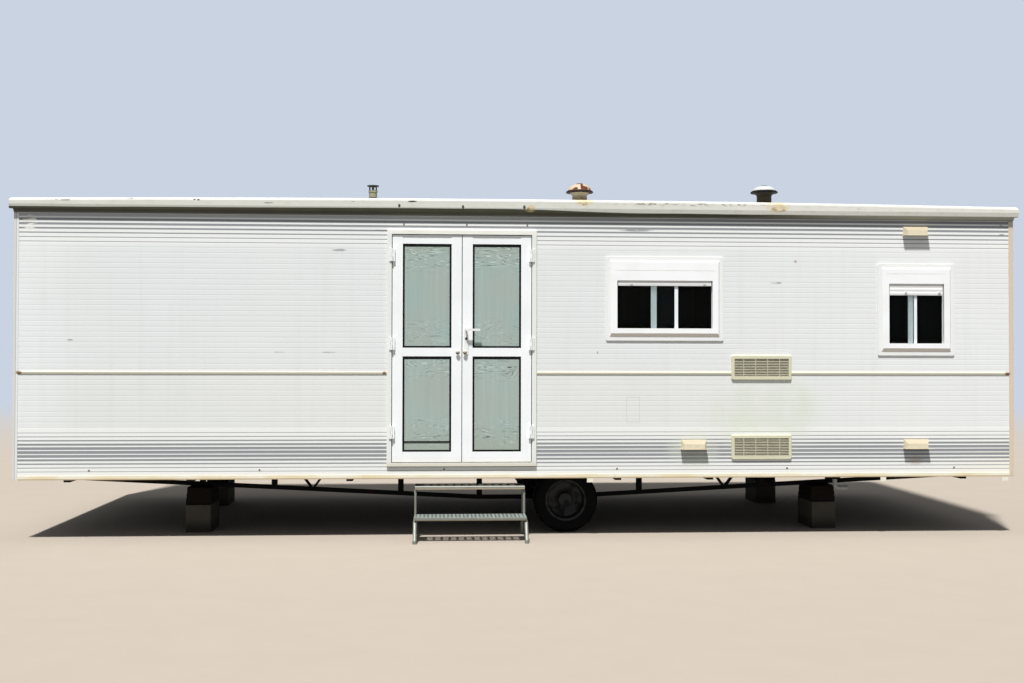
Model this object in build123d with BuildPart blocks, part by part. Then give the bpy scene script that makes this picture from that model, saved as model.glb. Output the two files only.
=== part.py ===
from build123d import *
import math
import os

os.makedirs("parts", exist_ok=True)

# The mobile home stands with its long front wall facing -Y, +X to the right, +Z up.
# All sizes are millimetres at full size; the ground is z = 0.

# Body
body_length = 8000.0
body_width = 3000.0
skirt_z = 470.0
eaves_z = 2582.0
wall_thickness = 50.0
cladding_thickness = 6.0
roof_camber = 120.0
roof_thickness = 78.0

# Ribbed cladding
groove_width = 14.0
groove_depth = 0.5
sheet_gap = 2.0
joint_z = 1308.0
base_rib_z = 534.0
base_rib_pitch = 30.3
base_rib_count = 11
field_rib_pitch = 41.5
eaves_rib_drop = 40.0
eaves_rib_pitch = 34.7
eaves_rib_count = 7

# Trims on the wall
base_trim_height = 32.0
trim_sheet = 3.0
corner_trim_face = 36.0
joint_trim_height = 28.0
joint_trim_depth = 8.0

# Eaves trim: a rounded top, an upright face, a lower face that leans in, and a drip fold at the foot
eaves_reach = 46.0
eaves_end_reach = 30.0
eaves_lean = 7.0
eaves_drop = 24.0
eaves_fold = 26.0
eaves_fold_height = 29.0
eaves_crease = 40.0
eaves_end_height = 88.0
eaves_crown = 26.0
eaves_round = 26.0
eaves_spans = 8

# Roof sheets
roof_sheet_thickness = 3.0
roof_seam_height = 14.0
roof_seam_width = 22.0
roof_bay = 800.0
roof_seam_inset = 60.0
roof_seam_gap = 1.0
roof_seam_clearance = 12.0

# Floor
floor_top = 592.0
floor_thickness = 40.0
joist_height = 44.0
joist_width = 60.0
joist_pitch = 800.0

# Chassis
rail_setback = 600.0
rail_width = 40.0
rail_chord = 34.0
rail_end_gap = 100.0
chord_end_z = 427.0
chord_middle_z = 240.0
chord_flat = 700.0
strut_width = 46.0
end_strut_gap = 600.0
crossmember_height = 60.0
crossmember_width = 50.0
crossmember_end_gap = 400.0

# Running gear
tyre_radius = 262.0
tyre_width = 190.0
tyre_crown = 14.0
rim_radius = 168.0
rim_flange = 16.0
rim_well = 30.0
wheel_dish = 22.0
wheel_plate = 12.0
hub_radius = 52.0
hub_half = 40.0
wheel_setback = 355.0
axle_x = 350.0
axle_beam = 60.0
axle_crank = 40.0
axle_stub = 24.0
crank_clearance = 60.0

# Piers
block_length = 400.0
block_width = 200.0
block_height = 222.0
pier_front_x = (-2653.0, 2548.0)
pier_rear_x = (-2825.0, 2548.0)
timber_height = 46.0
timber_width = 205.0
timber_step = 9.0
timber_gap = 0.3
timber_set_back = 20.0

# Doorway, two leaves that meet at door_x
door_x = -511.0
leaf_width = 549.0
leaf_height = 1803.0
leaf_bottom = 603.0
leaf_thickness = 40.0
leaf_gap = 6.0
leaf_recess = 10.0
jamb_face = 36.0
head_face = 30.0
sill_face = 28.0
frame_proud = 18.0
frame_stop = 15.0
stop_clearance = 5.0
stile_width = 81.0
top_rail = 70.0
middle_rail = 68.0
bottom_rail = 81.0
middle_rail_z = 1441.0
rail_set_back = 3.0
gasket_width = 11.0
gasket_lip = 4.0
pane_thickness = 6.0
pane_bed = 8.0

# Hinges
hinge_heights = (839.0, 1542.0, 2246.0)
hinge_height = 100.0
knuckle_radius = 8.0
knuckle_share = 32.0
knuckle_gap = 1.0
pin_radius = 4.0
pin_clearance = 0.3
wing_width = 12.0
wing_offset = 10.0
web_thickness = 6.0
hinge_stand = 1.0

# Lock and lever, on the right leaf
lock_x = -478.0
lever_z = 1652.0
plate_width = 34.0
plate_height = 215.0
plate_thickness = 6.0
plate_above = 14.0
lever_length = 120.0
lever_reach = 46.0
lever_bar = 18.0
lever_thickness = 12.0
neck_radius = 8.0
spindle_radius = 4.0
spindle_clearance = 0.6
neck_clearance = 1.2

# Windows: left, right, bottom and top of the clear opening, the shutter's drop,
# and the upright stiles where the rear and the front sash pass each other
kitchen_window = (732.0, 1504.0, 1669.0, 2053.0)
bath_window = (2957.0, 3413.0, 1554.0, 2039.0)
kitchen_drop = 42.0
bath_drop = 94.0
kitchen_stiles = ((1010.0, 1056.0), (1199.0, 1227.0))
bath_stiles = ((3129.0, 3168.0), (3171.0, 3195.0))
flange_side = 90.0
flange_bottom = 98.0
flange_top = 192.0
flange_bath_top = 162.0
flange_proud = 10.0
flange_corner = 12.0
casing_margin = 30.0
casing_proud = 24.0
casing_bevel = 12.0
casing_foot_bevel = 28.0
casing_fit = 1.0
header_line = 79.0
header_groove = 3.0
window_body = 45.0
sash_width = 14.0
sash_depth = 14.0
rear_sash_back = -28.0
track_gap = 2.0
glass_thickness = 4.0
slat_height = 36.0
slat_thickness = 8.0
slat_bulge = 2.5
slat_clearance = 3.0
slat_side_gap = 8.0
slat_pocket = 60.0
slat_fit = 0.3

# Vents and cowls
louvre_width = 492.0
louvre_height = 200.0
louvre_x = 1907.0
louvre_z = (1355.0, 714.0)
louvre_opening_width = 445.0
louvre_opening_height = 143.0
louvre_depth = 14.0
louvre_corner = 14.0
louvre_bevel = 5.0
louvre_blades = 11
louvre_blade_thickness = 3.0
louvre_blade_tilt = 60.0
louvre_ribs = 4
louvre_rib_pitch = 98.0
louvre_rib_width = 5.0
louvre_set_back = 1.0
cowl_width = 207.0
cowl_height = 77.0
cowl_depth = 48.0
cowl_hip = 20.0
cowl_slope = 34.0
cowl_wall = 3.0
cowl_lip = 3.0
cowl_places = ((1354.0, 737.0), (3184.0, 737.0), (3184.0, 2469.0))

# Small tabs that hang from the foot of the front wall, the last one beside the right corner
tab_spans = ((491.0, 539.0), (2888.0, 2934.0))
corner_tab_gap = 48.0
corner_tab_width = 54.0
tab_drop = 34.0

# Roof fittings
fitting_setback = 500.0
fitting_foot_depth = 12.0
fitting_foot_height = 5.0
flue_x = -1247.0
flue_height = 137.0
flue_radius = 34.0
flue_foot = 60.0
flue_flashing_radius = 42.0
flue_flashing_height = 30.0
flue_drum_height = 38.0
flue_drum_wall = 5.0
flue_collar_height = 12.0
flue_collar_proud = 4.0
flue_disc_radius = 49.0
flue_disc_thickness = 7.0
flue_slots = 6
flue_slot_width = 19.0
flue_slot_margin = 3.0
rusty_vent_x = 488.0
rusty_cap_height = 78.0
white_vent_x = 2069.0
white_cap_height = 64.0
vent_height = 172.0
vent_foot = 106.0
vent_cone = 16.0
vent_cap_radius = 114.0
vent_neck_radius = 62.0
vent_flare_radius = 84.0
vent_flare_drop = 24.0
vent_rim_height = 9.0
vent_dome_radius = 101.0
vent_dome_step = 18.0
vent_shoulder_radius = 86.0
vent_nub_radius = 32.0
vent_nub_height = 8.0

# Entry steps
step_left_x = -877.0
step_right_x = -12.0
step_foot_reach = 313.0
foot_radius = 17.0
step_tube = 14.0
step_rod = 9.0
lower_tread_z = 190.0
upper_tread_z = 408.0
lower_tread_reach = 232.0
tread_depth = 225.0
upper_tread_reach = 5.0
tread_height = 24.0
tread_skin = 3.0
tread_end = 30.0
tread_overhang = 4.0
tread_inset = 20.0
slot_columns = 12
slot_rows = 4
slot_length = 44.0
slot_width = 16.0
slot_pitch = (62.0, 40.0)
step_bend = 45.0
rod_bend = 30.0
foot_height = 26.0
back_foot_reach = 30.0

# Drain
drain_x = 2611.0
drain_setback = 300.0
drain_radius = 18.0
drain_bottom = 352.0
drain_elbow = 105.0
drain_bend = 30.0
drain_wall = 2.0
drain_socket = 40.0

# Derived places. The origin is under the middle of everything, the steps included.
body_y = (step_foot_reach + foot_radius - eaves_reach) / 2
front_y = body_y - body_width / 2
rear_y = body_y + body_width / 2
half_length = body_length / 2
rail_length = body_length - 2 * rail_end_gap
rail_half_track = body_width / 2 - rail_setback
wheel_track = body_width - 2 * wheel_setback
wall_foot = skirt_z + trim_sheet
leaf_top = leaf_bottom + leaf_height
doorway_left = door_x - leaf_gap / 2 - leaf_width - leaf_gap
doorway_right = door_x + leaf_gap / 2 + leaf_width + leaf_gap
frame_left = doorway_left - jamb_face
frame_right = doorway_right + jamb_face
frame_bottom = leaf_bottom - leaf_gap - sill_face
frame_top = leaf_top + leaf_gap + head_face
frame_y = front_y - frame_proud
leaf_y = frame_y + leaf_recess
core_y = front_y + cladding_thickness
inner_y = front_y + wall_thickness
rear_inner_y = rear_y - wall_thickness
roof_radius = (body_width ** 2 / 4 + roof_camber ** 2) / (2 * roof_camber)
roof_centre_z = eaves_z + roof_camber - roof_radius


def elevation(y):
    """A sketch plane seen from the front: sketch x is +X and sketch y is +Z."""
    return Plane(origin=(0, y, 0), x_dir=(1, 0, 0), z_dir=(0, -1, 0))


def section(x):
    """A sketch plane across the home: sketch x is +Y and sketch y is +Z."""
    return Plane(origin=(x, 0, 0), x_dir=(0, 1, 0), z_dir=(1, 0, 0))


def block(x0, x1, y0, y1, z0, z1, mode=Mode.ADD):
    """A plain box between two corners, added to the part being built."""
    with Locations(((x0 + x1) / 2, (y0 + y1) / 2, (z0 + z1) / 2)):
        Box(x1 - x0, y1 - y0, z1 - z0, mode=mode)


def save(piece, name):
    piece.label = name
    export_step(piece, "parts/" + name + ".step")


def roof_z(y, lift=0.0):
    """Height of the roof arc at y, a given distance above the wall plate."""
    return roof_centre_z + math.sqrt((roof_radius + lift) ** 2 - (y - body_y) ** 2)


# The ribbed cladding sheets

def rib_heights(low, high):
    """Heights of the pressed grooves between two levels of the wall."""
    ribs = [base_rib_z + i * base_rib_pitch for i in range(base_rib_count)]
    field = ribs[-1] + field_rib_pitch
    while field < joint_z - joint_trim_height / 2:
        ribs.append(field)
        field += field_rib_pitch
    upper = [eaves_z - eaves_rib_drop - i * eaves_rib_pitch for i in range(eaves_rib_count)]
    field = upper[-1] - field_rib_pitch
    while field > joint_z + joint_trim_height:
        upper.append(field)
        field -= field_rib_pitch
    field = eaves_z + field_rib_pitch
    while field < eaves_z + roof_camber:
        upper.append(field)
        field += field_rib_pitch
    keep = groove_width
    return sorted(z for z in ribs + upper if low + keep < z < high - keep)


def sheet_profile(plane, inner, outward, low, high):
    """Cross-section of one sheet: flat behind, with V grooves pressed in its face."""
    face = inner + outward * cladding_thickness
    bed = face - outward * groove_depth
    points = [(inner, low), (face, low)]
    for z in rib_heights(low, high):
        points += [(face, z - groove_width / 2), (bed, z), (face, z + groove_width / 2)]
    points += [(face, high), (inner, high)]
    with BuildSketch(plane) as profile:
        with BuildLine():
            Polyline(*points, close=True)
        make_face()
    return profile.sketch


def arch_outline(plane, half_width, low, lift):
    """A wall outline across the home, level below and following the roof arc above."""
    with BuildSketch(plane) as outline:
        with BuildLine():
            left = (body_y - half_width, roof_z(body_y - half_width, lift))
            right = (body_y + half_width, roof_z(body_y + half_width, lift))
            ThreePointArc(left, (body_y, roof_z(body_y, lift)), right)
            Polyline(right, (body_y + half_width, low), (body_y - half_width, low), left)
        make_face()
    return outline.sketch


def arch_band(plane, half_width, low_lift, high_lift):
    """A strip of even depth that follows the roof arc across the home."""
    ends = (body_y - half_width, body_y + half_width)
    low = [(y, roof_z(y, low_lift)) for y in (ends[0], body_y, ends[1])]
    high = [(y, roof_z(y, high_lift)) for y in (ends[0], body_y, ends[1])]
    with BuildSketch(plane) as band:
        with BuildLine():
            ThreePointArc(*low)
            Line(low[2], high[2])
            ThreePointArc(*high)
            Line(high[0], low[0])
        make_face()
    return band.sketch


lower_sheet = (wall_foot, joint_z - sheet_gap / 2)
upper_sheet = (joint_z + sheet_gap / 2, eaves_z)


def window_hole(window, margin):
    left, right, bottom, top = window
    return (left - margin, right + margin, bottom - margin, top + margin)


def cut_hole(hole, y0, y1):
    """Cut an opening through whatever is being built, from y0 to y1."""
    block(hole[0], hole[1], y0, y1, hole[2], hole[3], mode=Mode.SUBTRACT)


window_margin = window_body + casing_fit
front_windows = (kitchen_window, bath_window)
louvre_holes = [
    (
        louvre_x - louvre_opening_width / 2,
        louvre_x + louvre_opening_width / 2,
        z - louvre_opening_height / 2,
        z + louvre_opening_height / 2,
    )
    for z in louvre_z
]

front_spans = (
    ("front_cladding_left", -half_length, frame_left),
    ("front_cladding_right", frame_right, half_length),
)
for name, start, end in front_spans:
    with BuildPart() as cladding:
        for low, high in (lower_sheet, upper_sheet):
            extrude(sheet_profile(section(start), core_y, -1, low, high), amount=end - start)
        if start > door_x:
            for window in front_windows:
                cut_hole(window_hole(window, window_margin), front_y - 1, core_y + 1)
            for hole in louvre_holes:
                cut_hole(hole, front_y - 1, core_y + 1)
    save(cladding.part, name)

with BuildPart() as cladding:
    over = (frame_top, eaves_z)
    under = (wall_foot, frame_bottom)
    for low, high in (over, under):
        profile = sheet_profile(section(frame_left), core_y, -1, low, high)
        extrude(profile, amount=frame_right - frame_left)
save(cladding.part, "front_cladding_middle")

# The rear wall repeats the two windows, mirrored about the middle of the home.
rear_windows = [(-w[1], -w[0], w[2], w[3]) for w in front_windows]
with BuildPart() as cladding:
    for low, high in (lower_sheet, upper_sheet):
        profile = sheet_profile(section(-half_length), rear_y - cladding_thickness, 1, low, high)
        extrude(profile, amount=body_length)
    for window in rear_windows:
        cut_hole(window_hole(window, window_margin), rear_y - cladding_thickness - 1, rear_y + 1)
save(cladding.part, "rear_cladding")

for name, side in (("left_end_cladding", -1), ("right_end_cladding", 1)):
    inner_x = side * (half_length - cladding_thickness)
    end_length = body_width - 2 * cladding_thickness
    with BuildPart() as cladding:
        plane = elevation(rear_y - cladding_thickness)
        for low, high in (lower_sheet, (upper_sheet[0], eaves_z + roof_camber)):
            extrude(sheet_profile(plane, inner_x, side, low, high), amount=end_length)
        arch = arch_outline(section(-half_length - 1), body_width / 2, wall_foot, 0)
        extrude(arch, amount=body_length + 2, mode=Mode.INTERSECT)
    save(cladding.part, name)

# Wall cores, split beside, over and under the doorway

with BuildPart() as wall:
    block(-half_length + cladding_thickness, frame_left, core_y, inner_y, wall_foot, eaves_z)
save(wall.part, "front_wall_left")

with BuildPart() as wall:
    block(frame_right, half_length - cladding_thickness, core_y, inner_y, wall_foot, eaves_z)
    for window in front_windows:
        cut_hole(window_hole(window, window_margin), core_y - 1, inner_y + 1)
    for hole in louvre_holes:
        cut_hole(hole, core_y - 1, inner_y - cladding_thickness)
save(wall.part, "front_wall_right")

with BuildPart() as wall:
    block(frame_left, frame_right, core_y, inner_y, frame_top, eaves_z)
    block(frame_left, frame_right, core_y, inner_y, wall_foot, frame_bottom)
save(wall.part, "front_wall_middle")

with BuildPart() as wall:
    reach = half_length - cladding_thickness
    block(-reach, reach, rear_inner_y, rear_y - cladding_thickness, wall_foot, eaves_z)
    for window in rear_windows:
        cut_hole(window_hole(window, window_margin), rear_inner_y - 1, rear_y)
save(wall.part, "rear_wall")

for name, side in (("left_end_wall", -1), ("right_end_wall", 1)):
    outer_x = half_length - cladding_thickness
    start = -outer_x if side < 0 else half_length - wall_thickness
    with BuildPart() as wall:
        arch = arch_outline(section(start), body_width / 2 - wall_thickness, wall_foot, 0)
        extrude(arch, amount=wall_thickness - cladding_thickness)
    save(wall.part, name)

# Floor

with BuildPart() as floor:
    reach_x = half_length - wall_thickness
    block(-reach_x, reach_x, inner_y, rear_inner_y, floor_top - floor_thickness, floor_top)
save(floor.part, "floor_deck")

joist_top = floor_top - floor_thickness
joist_bottom = joist_top - joist_height
joist_count = round((body_length - 2 * wall_thickness - joist_width) / joist_pitch)
joist_span = body_length - 2 * wall_thickness - joist_width
with BuildPart() as joists:
    for i in range(joist_count + 1):
        x = -joist_span / 2 + i * joist_span / joist_count
        clear = abs(x - axle_x) > tyre_radius + joist_width
        if clear:
            block(x - joist_width / 2, x + joist_width / 2, inner_y, rear_inner_y, joist_bottom, joist_top)
save(joists.part, "floor_joists")

# Chassis rails: a trussed side member, deepest under the axle


def chord_z(x):
    """Underside of the lower chord at x."""
    run = rail_length / 2 - chord_flat / 2
    outside = max(0.0, abs(x) - chord_flat / 2)
    return chord_middle_z + (chord_end_z - chord_middle_z) * outside / run


rail_top = joist_bottom - crossmember_height
strut_reaches = (350.0, 1010.0, 2062.0, 2653.0, rail_length / 2 - end_strut_gap)
strut_places = [side * reach for side in (-1, 1) for reach in strut_reaches]
brace_places = (-1745.0, 1745.0)
brace_spread = 75.0


def rail_side(y):
    """The rail's side view: top chord, bent lower chord, struts and a pair of V braces."""
    ends = rail_length / 2
    flat = chord_flat / 2
    knees = [(-ends, chord_z(ends)), (-flat, chord_z(0)), (flat, chord_z(0)), (ends, chord_z(ends))]
    with BuildSketch(elevation(y)) as side:
        with BuildLine():
            upper = [(x, z + rail_chord) for x, z in reversed(knees)]
            Polyline(*knees, *upper, close=True)
        make_face()
        with BuildLine():
            Polyline(
                (-ends, rail_top - rail_chord),
                (ends, rail_top - rail_chord),
                (ends, rail_top),
                (-ends, rail_top),
                close=True,
            )
        make_face()
        for x in strut_places:
            low = chord_z(x) + rail_chord / 2
            with Locations((x, (low + rail_top - rail_chord / 2) / 2)):
                Rectangle(strut_width, rail_top - rail_chord / 2 - low)
        for x in brace_places:
            low = chord_z(x) + rail_chord / 2
            high = rail_top - rail_chord / 2
            for lean in (-1, 1):
                with BuildLine():
                    Polyline(
                        (x - strut_width / 4, low),
                        (x + strut_width / 4, low),
                        (x + lean * brace_spread + strut_width / 4, high),
                        (x + lean * brace_spread - strut_width / 4, high),
                        close=True,
                    )
                make_face()
        for end in (-ends + rail_chord / 2, ends - rail_chord / 2):
            with Locations((end, (chord_z(ends) + rail_top) / 2)):
                Rectangle(rail_chord, rail_top - chord_z(ends))
    return side.sketch


for name, y in (("chassis_rail_front", -rail_half_track), ("chassis_rail_rear", rail_half_track)):
    with BuildPart() as rail:
        extrude(rail_side(body_y + y + rail_width / 2), amount=rail_width)
    save(rail.part, name)

crossmember_end = half_length - crossmember_end_gap
crossmember_inner = (-2653.0, -1400.0, axle_x - 400.0, axle_x + 400.0, 1500.0, 2548.0)
crossmember_places = (-crossmember_end, *crossmember_inner, crossmember_end)
with BuildPart() as crossmembers:
    for x in crossmember_places:
        half = crossmember_width / 2
        block(x - half, x + half, inner_y, rear_inner_y, rail_top, joist_bottom)
save(crossmembers.part, "crossmembers")

# Axle, wheels and tyres, under the floor between the trusses and the side walls

with BuildPart() as axle:
    beam_low = chord_middle_z - axle_beam
    crank_out = (wheel_track - tyre_width) / 2 - crank_clearance
    near_x = axle_x - axle_beam / 2
    far_x = axle_x + axle_beam / 2
    block(near_x, far_x, body_y - crank_out, body_y + crank_out, beam_low, chord_middle_z)
    for side in (-1, 1):
        inner, outer = sorted((body_y + side * (crank_out - axle_crank), body_y + side * crank_out))
        block(near_x, far_x, inner, outer, beam_low, tyre_radius + axle_beam / 2)
        stub = wheel_track / 2 - hub_half - crank_out
        with BuildSketch(elevation(body_y + side * crank_out)):
            with Locations((axle_x, tyre_radius)):
                Circle(axle_stub)
        extrude(amount=-side * stub)
save(axle.part, "axle")


def spun(side, points):
    """Revolve a half profile about a wheel's axis: points are (radius, distance out from its middle)."""
    centre = Plane(
        origin=(axle_x, body_y + side * wheel_track / 2, tyre_radius),
        x_dir=(0, 0, 1),
        z_dir=(side, 0, 0),
    )
    with BuildPart() as turned_piece:
        with BuildSketch(centre):
            with BuildLine():
                Polyline(*points, close=True)
            make_face()
        revolve(axis=Axis(centre.origin, (0, side, 0)))
    return turned_piece.part


half_tyre = tyre_width / 2
rim_edge = half_tyre - tyre_crown
tyre_points = [
    (rim_radius, -rim_edge),
    (tyre_radius - 2 * tyre_crown, -half_tyre),
    (tyre_radius - tyre_crown / 2, -rim_edge),
    (tyre_radius, -rim_edge + tyre_crown),
    (tyre_radius, rim_edge - tyre_crown),
    (tyre_radius - tyre_crown / 2, rim_edge),
    (tyre_radius - 2 * tyre_crown, half_tyre),
    (rim_radius, rim_edge),
]
wheel_points = [
    (0, -hub_half),
    (hub_radius, -hub_half),
    (hub_radius, wheel_dish - wheel_plate),
    (rim_radius - rim_well, -wheel_plate),
    (rim_radius - rim_flange, -rim_edge),
    (rim_radius, -rim_edge),
    (rim_radius, rim_edge),
    (rim_radius - rim_flange, rim_edge),
    (rim_radius - rim_well, wheel_plate / 2),
    (hub_radius, wheel_dish),
    (hub_radius, hub_half),
    (0, hub_half),
]
for name, points in (("wheels", wheel_points), ("tyres", tyre_points)):
    with BuildPart() as gear:
        for side in (-1, 1):
            add(spun(side, points))
    save(gear.part, name)

# Piers: concrete blocks with timber packing cut to the slope of the rail

pier_places = [(x, -rail_half_track) for x in pier_front_x] + [(x, rail_half_track) for x in pier_rear_x]
with BuildPart() as piers:
    for x, y in pier_places:
        block(
            x - block_width / 2,
            x + block_width / 2,
            body_y + y - block_length / 2,
            body_y + y + block_length / 2,
            0,
            block_height,
        )
save(piers.part, "pier_blocks")

with BuildPart() as packings:
    for x, y in pier_places:
        width = timber_width
        front_end = body_y + y - block_length / 2 + timber_set_back
        back_end = body_y + y + block_length / 2 - timber_set_back
        low = block_height
        rail_low = min(chord_z(x - timber_width / 2), chord_z(x + timber_width / 2))
        while low + 1.5 * timber_height < rail_low:
            block(x - width / 2, x + width / 2, front_end, back_end, low, low + timber_height)
            low += timber_height + timber_gap
            width -= timber_step
        left = x - width / 2
        right = x + width / 2
        with BuildSketch(elevation(back_end)):
            with BuildLine():
                slope = ((right, chord_z(right)), (left, chord_z(left)))
                Polyline((left, low), (right, low), *slope, close=True)
            make_face()
        extrude(amount=back_end - front_end)
save(packings.part, "pier_packings")

# Trims: corner angles, half-round joint covers, base angles

with BuildPart() as corners:
    for x_side in (-1, 1):
        for y_side in (-1, 1):
            x = x_side * half_length
            y = body_y + y_side * body_width / 2
            x_out = x + x_side * trim_sheet
            y_out = y + y_side * trim_sheet
            x_in = x - x_side * corner_trim_face
            y_in = y - y_side * corner_trim_face
            with BuildSketch(Plane.XY.offset(wall_foot)):
                with BuildLine():
                    end_leg = ((x, y), (x, y_in), (x_out, y_in), (x_out, y_out))
                    Polyline(*end_leg, (x_in, y_out), (x_in, y), close=True)
                make_face()
            extrude(amount=eaves_z - eaves_drop - sheet_gap - wall_foot)
save(corners.part, "corner_trims")


def half_round(plane, base, outward):
    """A flat-backed bead that covers the joint between two sheets."""
    half = joint_trim_height / 2
    with BuildSketch(plane) as bead:
        with BuildLine():
            crest = (base + outward * joint_trim_depth, joint_z)
            ThreePointArc((base, joint_z - half), crest, (base, joint_z + half))
            Line((base, joint_z + half), (base, joint_z - half))
        make_face()
    return bead.sketch


louvre_left = louvre_x - louvre_width / 2
louvre_right = louvre_x + louvre_width / 2
trim_end = half_length - corner_trim_face
front_beads = ((-trim_end, frame_left), (frame_right, louvre_left), (louvre_right, trim_end))
with BuildPart() as beads:
    for start, end in front_beads:
        extrude(half_round(section(start), front_y, -1), amount=end - start)
    extrude(half_round(section(-trim_end), rear_y, 1), amount=2 * trim_end)
    for side in (-1, 1):
        plane = elevation(rear_y - corner_trim_face)
        extrude(half_round(plane, side * half_length, side), amount=body_width - 2 * corner_trim_face)
save(beads.part, "joint_trims")

base_wrap = wall_thickness - cladding_thickness
with BuildPart() as base:
    for wall_y, out in ((front_y, -1), (rear_y, 1)):
        inner = wall_y - out * base_wrap
        outer = wall_y + out * trim_sheet
        reach = half_length + trim_sheet
        block(-reach, reach, min(inner, outer), max(inner, outer), skirt_z, wall_foot)
        near, far = sorted((wall_y, outer))
        block(-trim_end, trim_end, near, far, wall_foot, skirt_z + base_trim_height)
    for side in (-1, 1):
        inner, outer = sorted((side * (half_length - base_wrap), side * (half_length + trim_sheet)))
        near, far = sorted((side * half_length, side * (half_length + trim_sheet)))
        gap = base_wrap + sheet_gap
        block(inner, outer, front_y + gap, rear_y - gap, skirt_z, wall_foot)
        block(near, far, front_y + gap, rear_y - gap, wall_foot, skirt_z + base_trim_height)
save(base.part, "base_trims")

corner_tab_end = half_length - corner_tab_gap
with BuildPart() as tabs:
    for start, end in (*tab_spans, (corner_tab_end - corner_tab_width, corner_tab_end)):
        block(start, end, front_y - trim_sheet, front_y, skirt_z - tab_drop, skirt_z)
save(tabs.part, "skirt_tabs")

# Roof

with BuildPart() as roof:
    extrude(arch_band(section(-half_length), body_width / 2, 0, roof_thickness), amount=body_length)
save(roof.part, "roof_panel")

fitting_y = front_y + fitting_setback
fitting_feet = ((flue_x, flue_foot), (rusty_vent_x, vent_foot), (white_vent_x, vent_foot))
bay_count = round(body_length / roof_bay)
bay_length = body_length / bay_count
skin = roof_thickness + roof_sheet_thickness


def upstand(x):
    """A standing seam along one edge of a bay, cut away round the feet of the roof fittings."""
    half = body_width / 2 - roof_seam_inset
    with BuildPart() as seam:
        seam_top = skin + roof_seam_height
        extrude(arch_band(section(x), half, roof_thickness, seam_top), amount=roof_seam_width / 2)
        for foot_x, foot in fitting_feet:
            with Locations((foot_x, fitting_y, roof_z(fitting_y, skin))):
                Cylinder(foot + roof_seam_clearance, 4 * roof_seam_height, mode=Mode.SUBTRACT)
    return seam.part


with BuildPart() as sheets:
    for i in range(bay_count):
        start = -half_length + i * bay_length + (roof_seam_gap / 2 if i else 0)
        end = -half_length + (i + 1) * bay_length - (roof_seam_gap / 2 if i < bay_count - 1 else 0)
        if i > 0:
            add(upstand(start))
        if i < bay_count - 1:
            add(upstand(end - roof_seam_width / 2))
        extrude(arch_band(section(start), body_width / 2, roof_thickness, skin), amount=end - start)
save(sheets.part, "roof_sheets")

# Eaves trims: the front and rear ones bow upwards in the middle, and all end in a drip fold

eaves_half = half_length + eaves_end_reach
fold_top = eaves_fold_height - eaves_drop


def trim_outline(high, reach, folded):
    """Cross-section of a roof trim as (reach, height) points, and the middle of its rounded edge."""
    shoulder = high - eaves_round
    middle = eaves_round * (1 - math.sqrt(0.5))
    turn = (reach - eaves_round, high)
    arc = ((reach, shoulder), (reach - middle, high - middle), turn)
    fold = reach - eaves_lean
    foot = ((0, -eaves_drop), (fold - eaves_fold, -eaves_drop)) if folded else ((0, fold_top),)
    return (turn, (0, high), *foot, (fold, fold_top), (reach, eaves_crease), arc[0]), arc


def trim_profile(plane, high, reach, folded, out=1):
    """The cross-section drawn on a plane, turned round where out is -1."""
    points, arc = trim_outline(high, reach, folded)
    with BuildSketch(plane) as profile:
        with BuildLine():
            Polyline(*[(out * reach, height) for reach, height in points])
            ThreePointArc(*[(out * reach, height) for reach, height in arc])
        make_face()
    return profile.sketch


def eaves_profile(x, wall_y, out):
    """The section of a front or rear trim at x, taller towards the middle of the home."""
    plane = Plane(origin=(x, wall_y, eaves_z), x_dir=(0, 1, 0), z_dir=(1, 0, 0))
    high = eaves_end_height + eaves_crown * (1 - (x / eaves_half) ** 2)
    return trim_profile(plane, high, eaves_reach, True, out)


def end_corner(side):
    """The corner cut off the top of the front and rear trims at one end, to round them in front view."""
    top = eaves_z + eaves_end_height
    with BuildPart() as corner:
        with BuildSketch(Plane.XZ.offset(-rear_y - eaves_reach)):
            with BuildLine():
                Polyline(
                    (side * (eaves_half - eaves_round), top),
                    (side * (eaves_half - eaves_round), top + eaves_crown),
                    (side * (eaves_half + eaves_round), top + eaves_crown),
                    (side * (eaves_half + eaves_round), top - eaves_round),
                    (side * eaves_half, top - eaves_round),
                )
                middle = eaves_round * (1 - math.sqrt(0.5))
                ThreePointArc(
                    (side * eaves_half, top - eaves_round),
                    (side * (eaves_half - middle), top - middle),
                    (side * (eaves_half - eaves_round), top),
                )
            make_face()
        extrude(amount=body_width + 2 * eaves_reach)
    return corner.part


with BuildPart() as eaves:
    for wall_y, out in ((front_y, -1), (rear_y, 1)):
        places = [-eaves_half + i * 2 * eaves_half / eaves_spans for i in range(eaves_spans + 1)]
        loft([eaves_profile(x, wall_y, out) for x in places], ruled=True)
    for side in (-1, 1):
        past = sorted((side * half_length, side * eaves_half))
        low = eaves_z - eaves_drop
        block(*past, front_y - eaves_reach, rear_y + eaves_reach, low, eaves_z + fold_top, mode=Mode.SUBTRACT)
        add(end_corner(side), mode=Mode.SUBTRACT)
save(eaves.part, "eaves_trims")


def end_profile(side):
    """The section of an end roof trim, on a plane through the axis of the roof arc, and its sweep."""
    lean = math.asin((body_width / 2 + eaves_reach) / roof_radius)
    start = (0, math.sin(lean), math.cos(lean))
    radial = Plane(
        origin=(side * half_length, body_y + roof_radius * start[1], roof_centre_z + roof_radius * start[2]),
        x_dir=(side, 0, 0),
        z_dir=(0, -side * math.cos(lean), side * math.sin(lean)),
    )
    return trim_profile(radial, eaves_end_height, eaves_end_reach, False), 2 * math.degrees(lean)


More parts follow.
